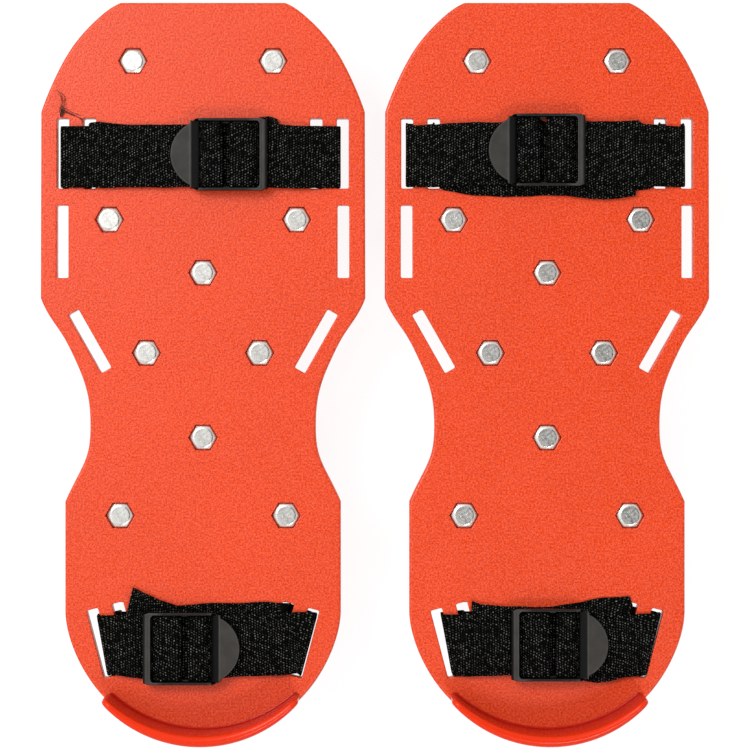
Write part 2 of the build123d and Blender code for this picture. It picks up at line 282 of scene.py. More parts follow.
def buckle_material(name):
    """Black acetal with a fine matt grain; convex edges a little greyer as wear and as painted highlight, sides and
    slopes near black as painted shade.
    """
    m, nt, bsdf = material(name)
    co = node(nt, "ShaderNodeTexCoord")
    fine = node(nt, "ShaderNodeTexNoise", inputs={"Scale": 2600.0, "Detail": 3.0, "Roughness": 0.6})
    mid = node(nt, "ShaderNodeTexNoise", inputs={"Scale": 180.0, "Detail": 3.0, "Roughness": 0.55})
    for t in (fine, mid):
        nt.links.new(co.outputs["Object"], t.inputs["Vector"])
    tone = ramp(nt, mid.outputs["Fac"], [(0.35, (0.0290, 0.0268, 0.0244, 1)), (0.65, (0.0390, 0.0362, 0.0332, 1))])
    edge = node(nt, "ShaderNodeAttribute", attribute_name="edge_wear_and_highlight")
    # wear and painted highlight: convex edges are mixed towards light grey
    worn_and_highlit = mix_color(nt, math_node(nt, "MULTIPLY", edge.outputs["Fac"], 0.7, clamp=True), tone.outputs["Color"], (0.085, 0.082, 0.078, 1))
    grain_and_slope_shade = node(nt, "ShaderNodeAttribute", attribute_name="grain_and_slope_shade")
    # painted shade: faces that do not look up get a near-black base colour, besides their lower roughness
    nt.links.new(mix_color(nt, grain_and_slope_shade.outputs["Fac"], (0.0022, 0.0020, 0.0018, 1), worn_and_highlit), bsdf.inputs["Base Color"])
    r = node(nt, "ShaderNodeMapRange", inputs={"From Min": 0.3, "From Max": 0.7, "To Min": 0.36, "To Max": 0.5})
    nt.links.new(fine.outputs["Fac"], r.inputs["Value"])
    gloss = math_node(nt, "MULTIPLY", math_node(nt, "SUBTRACT", 1.0, grain_and_slope_shade.outputs["Fac"]), -0.22)
    nt.links.new(math_node(nt, "ADD", r.outputs["Result"], gloss), bsdf.inputs["Roughness"])
    bsdf.inputs["Specular IOR Level"].default_value = 0.13
    bump = node(nt, "ShaderNodeBump", inputs={"Strength": 0.35, "Distance": 0.00006})
    nt.links.new(fine.outputs["Fac"], bump.inputs["Height"])
    nt.links.new(bump.outputs["Normal"], bsdf.inputs["Normal"])
    return m


def webbing_material(name):
    """Black polypropylene webbing: staggered warp floats between weft picks.  The UV map holds millimetres along and across the strip."""
    m, nt, bsdf = material(name)
    uv = node(nt, "ShaderNodeUVMap", uv_map="weave")
    sep = node(nt, "ShaderNodeSeparateXYZ")
    nt.links.new(uv.outputs["UV"], sep.inputs["Vector"])
    wob = node(nt, "ShaderNodeTexNoise", inputs={"Scale": 0.35, "Detail": 2.0, "Roughness": 0.5})
    nt.links.new(uv.outputs["UV"], wob.inputs["Vector"])
    w = math_node(nt, "MULTIPLY", math_node(nt, "SUBTRACT", wob.outputs["Fac"], 0.5), 1.5)
    u = math_node(nt, "ADD", sep.outputs["X"], w)
    v = math_node(nt, "ADD", sep.outputs["Y"], math_node(nt, "MULTIPLY", w, 0.4))
    pitch = 1.06
    cu = math_node(nt, "DIVIDE", u, pitch)
    iu = math_node(nt, "FLOOR", cu)
    fu = math_node(nt, "SUBTRACT", cu, iu)
    # the floats of neighbouring picks are half a repeat out of step
    half = math_node(nt, "MULTIPLY", math_node(nt, "MODULO", math_node(nt, "ABSOLUTE", iu), 2.0), 0.5)
    # each float leans a little, as twisted yarn does
    cv = math_node(nt, "ADD", math_node(nt, "ADD", math_node(nt, "DIVIDE", v, pitch), half), math_node(nt, "MULTIPLY", fu, 0.35))
    iv = math_node(nt, "FLOOR", cv)
    fv = math_node(nt, "SUBTRACT", cv, iv)
    along = math_node(nt, "SINE", math_node(nt, "MULTIPLY", fu, math.pi))
    across = math_node(nt, "SINE", math_node(nt, "MULTIPLY", fv, math.pi))
    yarn = math_node(nt, "MULTIPLY", math_node(nt, "POWER", math_node(nt, "ABSOLUTE", along), 1.1), math_node(nt, "POWER", math_node(nt, "ABSOLUTE", across), 0.9))
    # every float is its own shade
    cell = node(nt, "ShaderNodeCombineXYZ")
    nt.links.new(iu, cell.inputs["X"])
    nt.links.new(iv, cell.inputs["Y"])
    white = node(nt, "ShaderNodeTexWhiteNoise", noise_dimensions="3D")
    nt.links.new(cell.outputs["Vector"], white.inputs["Vector"])
    shade = node_range(nt, white.outputs["Value"], 0.0, 1.0, 0.22, 1.0)
    # fibres inside each yarn
    stretch = node(nt, "ShaderNodeMapping")
    stretch.inputs["Scale"].default_value = (1.5, 10.0, 1.0)
    nt.links.new(uv.outputs["UV"], stretch.inputs["Vector"])
    fib = node(nt, "ShaderNodeTexNoise", inputs={"Scale": 1.3, "Detail": 3.0, "Roughness": 0.7})
    nt.links.new(stretch.outputs["Vector"], fib.inputs["Vector"])
    # painted light: float crowns are coloured lighter as painted sheen, the gaps between floats near black as painted
    # shade
    crown_sheen = math_node(nt, "MULTIPLY", math_node(nt, "MULTIPLY", math_node(nt, "POWER", yarn, 2.2), shade), node_range(nt, fib.outputs["Fac"], 0.3, 0.65, 0.55, 1.0))
    colr = ramp(nt, crown_sheen, [(0.0, (0.0006, 0.0006, 0.0005, 1)), (0.22, (0.004, 0.004, 0.0034, 1)), (0.55, (0.066, 0.066, 0.059, 1)), (1.0, (0.32, 0.32, 0.295, 1))])
    nt.links.new(colr.outputs["Color"], bsdf.inputs["Base Color"])
    bsdf.inputs["Roughness"].default_value = 0.55
    bsdf.inputs["Specular IOR Level"].default_value = 0.02
    h = math_node(nt, "ADD", yarn, math_node(nt, "MULTIPLY", fib.outputs["Fac"], 0.3))
    bump = node(nt, "ShaderNodeBump", inputs={"Strength": 1.0, "Distance": 0.00035})
    nt.links.new(h, bump.inputs["Height"])
    nt.links.new(bump.outputs["Normal"], bsdf.inputs["Normal"])
    return m


def yarn_material(name):
    """Frayed filaments of the webbing."""
    m, nt, bsdf = material(name)
    co = node(nt, "ShaderNodeTexCoord")
    n = node(nt, "ShaderNodeTexNoise", inputs={"Scale": 1800.0, "Detail": 2.0, "Roughness": 0.6})
    nt.links.new(co.outputs["Object"], n.inputs["Vector"])
    tone = ramp(nt, n.outputs["Fac"], [(0.35, (0.004, 0.003, 0.003, 1)), (0.65, (0.035, 0.028, 0.026, 1))])
    nt.links.new(tone.outputs["Color"], bsdf.inputs["Base Color"])
    bsdf.inputs["Roughness"].default_value = 0.6
    bsdf.inputs["Specular IOR Level"].default_value = 0.2
    return m


def node_range(nt, value, a, b, c, d):
    r = node(nt, "ShaderNodeMapRange", inputs={"From Min": a, "From Max": b, "To Min": c, "To Max": d})
    nt.links.new(value, r.inputs["Value"])
    return r.outputs["Result"]


MAT_SOLE = sole_material("sole_plastic", (0.615, 0.043, 0.004, 1), (0.44, 0.018, 0.001, 1), (0.76, 0.078, 0.014, 1), rough=0.34)
MAT_LIP = lip_material("lip_plastic")
MAT_STEEL = steel_material("zinc_bolt")
MAT_ZINC = steel_material("zinc_nut", (0.66, 0.66, 0.64, 1), 0.32)
MAT_BUCKLE = buckle_material("buckle_plastic")
MAT_WEB = webbing_material("webbing_black")
MAT_YARN = yarn_material("yarn_black")

# ---------------------------------------------------------------- camera, stage, light
cam_data = bpy.data.cameras.new("camera")
cam = bpy.data.objects.new("camera", cam_data)
collection.objects.link(cam)
CAM_D = 1.0
cam.location = (0.0, SHIFT_Y * MM, TOP * MM + CAM_D)
cam.rotation_euler = (0, 0, 0)
cam_data.sensor_width = 36.0
cam_data.lens = 36.0 * CAM_D * 1000 / 302.0
cam_data.clip_start = 0.05
scene.camera = cam

scene.view_settings.view_transform = "Standard"
scene.view_settings.look = "None"

floor_mesh = mesh_from("floor", [(-3, -3, 0), (3, -3, 0), (3, 3, 0), (-3, 3, 0)], [(0, 1, 2, 3)], smooth=False)
floor = link("floor", floor_mesh)
mf, nt, bsdf = material("floor_white")
bsdf.inputs["Base Color"].default_value = (0.16, 0.16, 0.16, 1)
bsdf.inputs["Roughness"].default_value = 0.9
bsdf.inputs["Specular IOR Level"].default_value = 0.0
bsdf.inputs["Emission Color"].default_value = (1, 1, 1, 1)
bsdf.inputs["Emission Strength"].default_value = 0.88
floor.data.materials.append(mf)

world = bpy.data.worlds.new("studio")
scene.world = world
world.use_nodes = True
wnt = world.node_tree
bg = wnt.nodes["Background"]
sky = wnt.nodes.new("ShaderNodeTexCoord")
sepw = wnt.nodes.new("ShaderNodeSeparateXYZ")
wnt.links.new(sky.outputs["Generated"], sepw.inputs["Vector"])
grey = lambda v: (v, v, v, 1)
# a light tent: bright walls, and overhead a soft box on the upper left with a dim gap on the right
walls = ramp(wnt, sepw.outputs["Z"], [(0.0, grey(0.93)), (0.13, grey(0.93)), (0.26, grey(0.55)), (0.50, grey(0.95)), (0.75, grey(1.1))])
lean = math_node(wnt, "SUBTRACT", sepw.outputs["X"], math_node(wnt, "MULTIPLY", sepw.outputs["Y"], 0.3))
roof = ramp(wnt, math_node(wnt, "ADD", lean, 0.5), [(0.20, grey(1.25)), (0.40, grey(1.06)), (0.50, grey(0.42)), (0.58, grey(0.06)), (1.0, grey(0.03))])
over = node(wnt, "ShaderNodeMapRange", interpolation_type="SMOOTHSTEP", inputs={"From Min": 0.62, "From Max": 0.88})
wnt.links.new(sepw.outputs["Z"], over.inputs["Value"])
wnt.links.new(mix_color(wnt, over.outputs["Result"], walls.outputs["Color"], roof.outputs["Color"]), bg.inputs["Color"])
bg.inputs["Strength"].default_value = 1.06


def area(name, loc, target, size, power, color=(1, 1, 1)):
    li = bpy.data.lights.new(name, "AREA")
    li.shape = "RECTANGLE"
    li.size, li.size_y = size
    li.energy = power
    li.color = color
    ob = bpy.data.objects.new(name, li)
    collection.objects.link(ob)
    ob.location = loc
    d = Vector(target) - Vector(loc)
    ob.rotation_euler = d.to_track_quat("-Z", "Y").to_euler()
    return ob


area("key", (-0.75, 0.55, 1.25), (0, 0, 0.03), (0.6, 0.6), 14.0)
area("fill", (0.4, -1.0, 1.5), (0, 0, 0.03), (0.6, 0.3), 9.5)


# ---------------------------------------------------------------- sole plate
SLOTS = [
    (56.30, 89.25, 28.3, 4.8, 0.0),
    (45.60, 89.25, 28.3, 5.0, 0.0),
    (56.55, 53.75, 29.3, 4.7, 0.0),
    (45.60, 13.60, 27.0, 4.8, 29.6),
    (41.08, -107.95, 28.0, 4.7, 14.7),
    (30.93, -105.28, 28.0, 4.7, 14.7),
]
SPIKES = {
    "toe_left": (-28.2, 126.5), "toe_right": (28.2, 126.5),
    "ball_left": (-37.7, 62.6), "ball_right": (37.7, 62.6),
    "ball_centre": (0.0, 41.2),
    "arch_left": (-22.8, 8.9), "arch_right": (22.8, 8.9),
    "waist_centre": (0.0, -25.2),
    "heel_left": (-33.4, -56.6), "heel_right": (33.4, -56.6),
}


def outline():
    a, b, c, d, e = (33.1, 150.0), (65.2, 106.0), (65.4, 31.0), (55.5, -51.0), (55.5, -95.0)
    half = line((0, 150.0), a, 8)
    half += cubic([a, (42.4, 143.7), (52.4, 132.6), (60.0, 119.0), b], (1.0, -0.38), (0.33, -1.0), 10)
    half += line(b, c, 12)
    half += cubic([c, (60.9, 22.3), (56.3, 15.5), (52.4, 8.0), (48.9, 0.0), (46.3, -9.0), (45.4, -20.0), (46.7, -32.0),
                   (49.9, -39.5), (53.4, -46.4), d], (-0.35, -1.0), (0.42, -1.0), 8)
    half += line(d, e, 8)
    half += cubic([e, (53.7, -106.0), (49.4, -116.5), (45.5, -123.0), (40.4, -129.4), (25.0, -141.2), (0.0, -147.4)], (0.0, -1.0), (-1.0, 0.0), 9)
    half.append((0.0, -147.4))
    # clockwise down the right side; mirror up the left side, then turn the loop round
    loop = half + [(-x, y) for x, y in half[-2:0:-1]]
    return loop[::-1]


def slot_loop(x, y, length, width, lean, r=0.7):
    pts = []
    hw, hl = width / 2, length / 2
    for cx, cy, a0 in ((hw - r, hl - r, 0), (-hw + r, hl - r, 90), (-hw + r, -hl + r, 180), (hw - r, -hl + r, 270)):
        for k in range(5):
            a = math.radians(a0 + 90 * k / 4)
            pts.append((cx + r * math.cos(a), cy + r * math.sin(a)))
    # split the long sides
    out = []
    n = len(pts)
    for i in range(n):
        p, q = pts[i], pts[(i + 1) % n]
        out.append(p)
        d = math.hypot(q[0] - p[0], q[1] - p[1])
        if d > 6:
            out += line(p, q, 10)[1:]
    t = math.radians(-lean)
    return [(x + px * math.cos(t) - py * math.sin(t), y + px * math.sin(t) + py * math.cos(t)) for px, py in out]


def hex_radius(af, phi):
    """Distance from the centre to a hexagon with its corners along X."""
    k = (phi % (math.pi / 3)) - math.pi / 6
    return af / 2 / math.cos(k)


HEX_N = 48


def ring_loop(x, y, fn):
    return [(x + fn(2 * math.pi * k / HEX_N) * math.cos(2 * math.pi * k / HEX_N),
             y + fn(2 * math.pi * k / HEX_N) * math.sin(2 * math.pi * k / HEX_N)) for k in range(HEX_N)]


class Rings:
    """Builds a mesh from chains of rings, and fills two faces between them."""

    def __init__(self):
        self.bm = bmesh.new()

    def ring(self, pts, z):
        return [self.bm.verts.new((p[0] * MM, p[1] * MM, z * MM)) for p in pts]

    def join(self, a, b, smooth=True):
        n = len(a)
        for i in range(n):
            j = (i + 1) % n
            f = self.bm.faces.new((a[i], a[j], b[j], b[i]))
            f.smooth = smooth

    def fill(self, rings):
        edges = []
        for r in rings:
            n = len(r)
            for i in range(n):
                a, b = r[i], r[(i + 1) % n]
                e = self.bm.edges.get((a, b)) or self.bm.edges.new((a, b))
                edges.append(e)
        out = bmesh.ops.triangle_fill(self.bm, use_beauty=True, use_dissolve=False, edges=edges)
        for f in out["geom"]:
            if isinstance(f, bmesh.types.BMFace):
                f.smooth = False


def build_sole(side, sx):
    b = Rings()
    tops, bots = [], []
    # rim
    loop = outline()
    prev = None
    prof = [(1.0 * (1 - math.cos(math.radians(a))), BOT + 1.0 - 1.0 * math.sin(math.radians(a))) for a in (90, 60, 30, 0)]
    prof += [(0.0, TOP - 3.0)]
    prof += [(1.0 * (1 - math.cos(math.radians(a))), TOP - 1.0 + 1.0 * math.sin(math.radians(a))) for a in (0, 22, 45, 67, 90)]
    for k, (d, z) in enumerate(prof):
        r = b.ring(offset(loop, d), z)
        if prev is not None:
            b.join(prev, r)
        else:
            bots.append(r)
        prev = r
    tops.append(prev)
    # slots
    for x, y, length, width, lean in SLOTS:
        for s in (-1, 1):
            lp = slot_loop(s * x, y, length, width, s * lean)
            prev = None
            e = 0.45
            prof = [(-e, BOT), (-e * 0.3, BOT + e * 0.3), (0, BOT + e), (0, TOP - e), (-e * 0.13, TOP - e * 0.5), (-e * 0.5, TOP - e * 0.13), (-e, TOP)]
            for k, (d, z) in enumerate(prof):
                r = b.ring(offset(lp, d), z)
                if prev is not None:
                    b.join(r, prev)
                else:
                    bots.append(r)
                prev = r
            tops.append(prev)
    # spike pockets, holes and bosses
    for x, y in SPIKES.values():
        hexa = lambda g: ring_loop(x, y, lambda p: hex_radius(10.25 + 2 * g, p))
        circ = lambda q: ring_loop(x, y, lambda p: q)
        chain = [(hexa(0.35), TOP), (hexa(0.16), TOP - 0.06), (hexa(0.05), TOP - 0.18), (hexa(0.0), TOP - 0.4), (hexa(0.0), TOP - 4.2),
                 (circ(3.25), TOP - 4.2), (circ(3.25), BOT - 3.0), (circ(8.3), BOT - 3.0), (circ(8.8), BOT - 2.8), (circ(9.0), BOT - 2.3),
                 (circ(9.0), BOT - 0.8), (circ(9.25), BOT - 0.25), (circ(9.8), BOT)]
        prev = None
        for pts, z in chain:
            r = b.ring(pts, z)
            if prev is not None:
                b.join(prev, r)
            else:
                tops.append(r)
            prev = r
        bots.append(prev)
    b.fill(tops)
    b.fill(bots)
    bm = b.bm
    # ribs under the plate
    P = SPIKES
    runs = [("toe_left", "toe_right"), ("ball_left", "ball_centre"), ("ball_right", "ball_centre"), ("arch_left", "ball_centre"),
            ("arch_right", "ball_centre"), ("arch_left", "arch_right"), ("arch_left", "waist_centre"), ("arch_right", "waist_centre"),
            ("heel_left", "waist_centre"), ("heel_right", "waist_centre"), ("heel_left", "heel_right"), ("ball_left", "ball_right")]
    segs = [(P[p], P[q], 8.4, 8.4) for p, q in runs]
    for s in (-1, 1):
        segs += [((s * 28.2, 126.5), (s * 28.2, 104.0), 8.4, 0), ((s * 33.4, -56.6), (s * 33.4, -92.0), 8.4, 0), ((s * 37.7, 62.6), (s * 37.7, 73.0), 8.4, 0)]
    segs += [((-27.2, 105.0), (27.2, 105.0), 0, 0), ((-22.0, -91.0), (22.0, -91.0), 0, 0)]
    for p, q, ta, tb in segs:
        p, q = Vector((p[0], p[1], 0)), Vector((q[0], q[1], 0))
        d = (q - p).normalized()
        p, q = p + d * ta, q - d * tb
        nrm = Vector((-d.y, d.x, 0))
        prof = [(1.15, BOT + 0.2), (1.0, BOT - 0.5), (0.9, BOT - 2.35), (0.65, BOT - 2.6), (-0.65, BOT - 2.6), (-0.9, BOT - 2.35), (-1.0, BOT - 0.5), (-1.15, BOT + 0.2)]
        ra = [bm.verts.new(((p + nrm * w).x * MM, (p + nrm * w).y * MM, z * MM)) for w, z in prof]
        rb = [bm.verts.new(((q + nrm * w).x * MM, (q + nrm * w).y * MM, z * MM)) for w, z in prof]
        n = len(prof)
        for i in range(n):
            j = (i + 1) % n
            bm.faces.new((ra[i], ra[j], rb[j], rb[i]))
        bm.faces.new(ra[::-1])
        bm.faces.new(rb)
    bmesh.ops.recalc_face_normals(bm, faces=bm.faces)
    me = bpy.data.meshes.new(f"{side}_sole")
    bm.to_mesh(me)
    bm.free()
    me.transform(Matrix.Translation((sx * CLEAT_X * MM, SHIFT_Y * MM, 0)))
    me.set_sharp_from_angle(angle=math.radians(40))
    # the level faces are shaded flat, so that no rounded edge leans into them
    me.polygons.foreach_set("use_smooth", [abs(f.normal.z) < 0.99999 for f in me.polygons])
    me.materials.append(MAT_SOLE)
    ob = link(f"{side}_sole", me)
    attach(ob, f"{side}_cleat")
    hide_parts(f"{side}_sole_plate")
    return ob


LIP_RO, LIP_YO = 52.3, -95.0
LIP_RI, LIP_YI = 54.8, -87.7
LIP_H = 20.0
LIP_END = 49.0


def build_lip(side, sx):
    """Raised heel lip: a wall between two circles, round on top, with a filleted foot."""
    angles = list(np.linspace(-LIP_END, -LIP_END + 4.5, 12)) + list(np.linspace(-LIP_END + 4.5, LIP_END - 4.5, 84))[1:-1] + list(np.linspace(LIP_END - 4.5, LIP_END, 12))
    rings, lip_shade_height = [], []
    for deg in angles:
        t = math.radians(deg)
        dx, dy = math.sin(t), -math.cos(t)
        # distance from the outer circle's centre to the inner circle along this direction
        cy = LIP_YO - LIP_YI
        bq = cy * dy
        ri = -bq + math.sqrt(bq * bq - (cy * cy - LIP_RI**2))
        ro = LIP_RO
        near = max(0.0, (abs(deg) - (LIP_END - 1.6)) / 1.6)
        squeeze = max(0.03, math.sqrt(max(0.0, 1 - near * near)))
        mid = (ri + ro) / 2
        wi, wo = (mid - ri) * squeeze, (ro - mid) * squeeze
        far = max(0.0, (abs(deg) - (LIP_END - 4.5)) / 4.5)
        drop = 4.0 * (1 - math.sqrt(max(0.0, 1 - far * far)))
        zt = TOP + LIP_H - drop
        f = 0.8 * squeeze
        a_in, a_out = mid - wi, mid + wo
        rr = (a_out - a_in) / 2
        pts = [(a_in - f, TOP - 0.6), (a_in - f, TOP + 0.004)]
        for a in (18, 36, 54, 72, 90):
            s = math.radians(a)
            pts.append((a_in - f + f * math.sin(s), TOP + f - f * math.cos(s)))
        pts.append((a_in + 0.1, TOP + 7))
        pts.append((a_in + 0.15, zt - rr - 1.5))
        for a in range(0, 181, 15):
            s = math.radians(a)
            pts.append((mid - (rr - 0.15 * (1 - a / 180)) * math.cos(s), zt - rr + rr * math.sin(s)))
        pts += [(a_out, zt - rr - 1.5), (a_out, TOP + 5), (a_out, TOP - 2), (a_out, BOT + 1.5), (a_out - 0.6 * squeeze, BOT + 0.6), (a_in, BOT + 0.6)]
        rings.append([(dx * r, LIP_YO + dy * r, z) for r, z in pts])
        # how far up the inner wall each point is; the round top and the outer wall count as the top. It drives the
        # painted shade: the lip is coloured darker the lower a point sits on the inner wall.
        lip_shade_height += [min(1.0, max(0.0, (z - TOP) / (zt - rr - TOP))) * (0.75 if r < mid and z < zt - rr + 0.01 else 1.0) if r < mid else 1.0 for r, z in pts]
    verts = [(x * MM, y * MM, z * MM) for ring in rings for x, y, z in ring]
    m, n = len(rings[0]), len(rings)
    faces = []
    for i in range(n - 1):
        for j in range(m):
            k = (j + 1) % m
            faces.append((i * m + j, i * m + k, (i + 1) * m + k, (i + 1) * m + j))
    faces.append(tuple(range(m)))
    faces.append(tuple((n - 1) * m + j for j in range(m))[::-1])
    me = mesh_from(f"{side}_heel_lip", verts, faces)
    me.attributes.new("lip_shade_height", "FLOAT", "POINT").data.foreach_set("value", np.array(lip_shade_height, np.float32))
    clean(me, 1e-6)
    me.transform(Matrix.Translation((sx * CLEAT_X * MM, SHIFT_Y * MM, 0)))
    me.polygons.foreach_set("use_smooth", [True] * len(me.polygons))
    me.set_sharp_from_angle(angle=math.radians(60))
    me.materials.append(MAT_LIP)
    ob = link(f"{side}_heel_lip", me)
    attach(ob, f"{side}_cleat")
    return ob


for side, sx in SIDES:
    build_sole(side, sx)
    build_lip(side, sx)


# ---------------------------------------------------------------- spikes
def spike_mesh():
    """Hex-head bolt, threaded shank and conical point, with the axis through the origin."""
    n = 48
    z_head = TOP - 4.2
    z_top = z_head + 4.0
    verts, faces = [(0, 0, z_top)], []

    def add(fn):
        base = len(verts)
        for k in range(n):
            p = 2 * math.pi * k / n
            r, z = fn(p)
            verts.append((r * math.cos(p), r * math.sin(p), z))
        return base

    rows = []
    for r, z in ((1.2, z_top), (2.4, z_top), (3.5, z_top), (3.78, z_top), (3.88, z_top - 0.04), (3.93, z_top - 0.14), (4.02, z_top - 0.17)):
        rows.append(add(lambda p, r=r, z=z: (r, z)))
    t30 = math.tan(math.radians(30))

    def cone(f):
        def fn(p):
            rh = hex_radius(9.9, p)
            r = 4.02 + (rh - 0.12 - 4.02) * f
            return r, z_top - 0.17 - (r - 4.02) * t30
        return fn
    for f in (0.33, 0.66, 1.0):
        rows.append(add(cone(f)))

    def edge(dr, dz):
        def fn(p):
            rh = hex_radius(9.9, p)
            return rh - dr, z_top - 0.17 - (rh - 4.02) * t30 - dz
        return fn
    rows.append(add(edge(0.03, 0.06)))
    rows.append(add(edge(0.0, 0.2)))
    rows.append(add(lambda p: (hex_radius(9.9, p), z_head + 0.1)))
    rows.append(add(lambda p: (hex_radius(9.9, p) - 0.1, z_head)))
    rows.append(add(lambda p: (3.1, z_head)))
    z = z_head - 0.2
    pitch = 1.0
    while z > 11.2:
        def fn(p, z=z):
            ph = (z / pitch + p / (2 * math.pi)) % 1.0
            tri = abs(2 * ph - 1)
            depth = 0.5 * min(1.0, max(0.0, (z - 11.2) / 1.2))
            return 2.98 - depth * (1 - min(1.0, tri * 1.25)), z
        rows.append(add(fn))
        z -= pitch / 7
    for r, z in ((2.96, 11.1), (2.9, 10.7), (2.0, 7.1), (1.15, 3.4), (0.62, 0.95), (0.5, 0.45), (0.36, 0.12), (0.16, 0.0)):
        rows.append(add(lambda p, r=r, z=z: (r, z)))
    for k in range(n):
        faces.append((0, rows[0] + k, rows[0] + (k + 1) % n))
    for a, b in zip(rows, rows[1:]):
        for k in range(n):
            j = (k + 1) % n
            faces.append((a + k, b + k, b + j, a + j))
    tip = len(verts)
    verts.append((0, 0, 0.0))
    for k in range(n):
        faces.append((tip, rows[-1] + (k + 1) % n, rows[-1] + k))
    # generic raised marks on the head: short strokes on two arcs
    zt = z_top - 0.02
    def stroke(cx, cy, ang, ln, w=0.16, h=0.09):
        base = len(verts)
        ca, sa = math.cos(ang), math.sin(ang)
        for zz, g in ((zt - 0.05, 0.0), (zt + h, -0.05)):
            for u, v in ((-ln / 2 - g, -w - g), (ln / 2 + g, -w - g), (ln / 2 + g, w + g), (-ln / 2 - g, w + g)):
                verts.append((cx + u * ca - v * sa, cy + u * sa + v * ca, zz))
        for i in range(4):
            j = (i + 1) % 4
            faces.append((base + i, base + j, base + 4 + j, base + 4 + i))
        faces.append((base + 4, base + 5, base + 6, base + 7))
        faces.append((base + 3, base + 2, base + 1, base))
    for ang in (60, 100, 140, 235, 275, 315):
        a = math.radians(ang)
        stroke(1.55 * math.cos(a), 1.55 * math.sin(a), a + math.pi / 2, 0.75)
    for ang in (20, 200):
        a = math.radians(ang)
        stroke(1.2 * math.cos(a), 1.2 * math.sin(a), a + 0.5, 0.9)
    me = mesh_from("spike", [(x * MM, y * MM, z * MM) for x, y, z in verts], faces)
    clean(me, 1e-7)
    me.polygons.foreach_set("use_smooth", [True] * len(me.polygons))
    me.set_sharp_from_angle(angle=math.radians(32))
    me.materials.append(MAT_STEEL)
    return me


SPIKE_MESH = spike_mesh()
turns = [7, 163, 292, 48, 201, 334, 95, 251, 17, 140, 222, 311, 66, 185, 278, 29, 118, 347, 84, 240]
ti = 0
for side, sx in SIDES:
    for name, (x, y) in SPIKES.items():
        me = SPIKE_MESH.copy()
        # hex heads sit square in their pockets, so they turn by whole sixths
        me.transform(Matrix.Rotation(math.radians(60 * (turns[ti] % 6)), 4, "Z"))
        ob = link(f"{side}_bolt_{name}", me)
        ob.location = ((sx * CLEAT_X + x) * MM, (y + SHIFT_Y) * MM, 0)
        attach(ob, f"{side}_cleat")
        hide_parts(f"{side}_spike_{name}")
        ti += 1
    for n in ("spike_nuts", "spike_washers"):
        o = frame["nodes"][f"{side}_{n}"]
        o.data.materials.clear()
        o.data.materials.append(MAT_ZINC)


# ---------------------------------------------------------------- buckles
def rounded_rect(u0, u1, v, r0, r1, n=10, m=16):
    """Counter-clockwise loop, corner radius r0 on the -u side and r1 on the +u side."""
    pts = []
    for cu, cv, r, a0 in ((u1 - r1, v - r1, r1, 0), (u0 + r0, v - r0, r0, 90), (u0 + r0, -v + r0, r0, 180), (u1 - r1, -v + r1, r1, 270)):
        arc = [(cu + r * math.cos(math.radians(a0 + 90 * k / n)), cv + r * math.sin(math.radians(a0 + 90 * k / n))) for k in range(n + 1)]
        if pts:
            pts += line(pts[-1], arc[0], m)[1:]
        pts += arc
    pts += line(pts[-1], pts[0], m)[1:]
    return pts


def lerp_table(table, x):
    return float(np.interp(x, [t[0] for t in table], [t[1] for t in table]))


def add_closed_sweep(bm, inner, outer, lo_fn, hi_fn):
    rings = []
    for (iu, iv), (ou, ov) in zip(inner, outer):
        q = [(iu, iv, lo_fn(iu, iv)), (ou, ov, lo_fn(ou, ov)), (ou, ov, hi_fn(ou, ov)), (iu, iv, hi_fn(iu, iv))]
        rings.append([bm.verts.new(p) for p in q])
    n = len(rings)
    for i in range(n):
        a, b = rings[i], rings[(i + 1) % n]
        for k in range(4):
            j = (k + 1) % 4
            bm.faces.new((a[k], a[j], b[j], b[k]))


def add_prism_y(bm, profile, v0, v1):
    """Convex profile in (u, z), from v0 to v1."""
    a = [bm.verts.new((u, v0, z)) for u, z in profile]
    b = [bm.verts.new((u, v1, z)) for u, z in profile]
    n = len(profile)
    for i in range(n):
        j = (i + 1) % n
        bm.faces.new((a[i], a[j], b[j], b[i]))
    bm.faces.new(a[::-1])
    bm.faces.new(b)


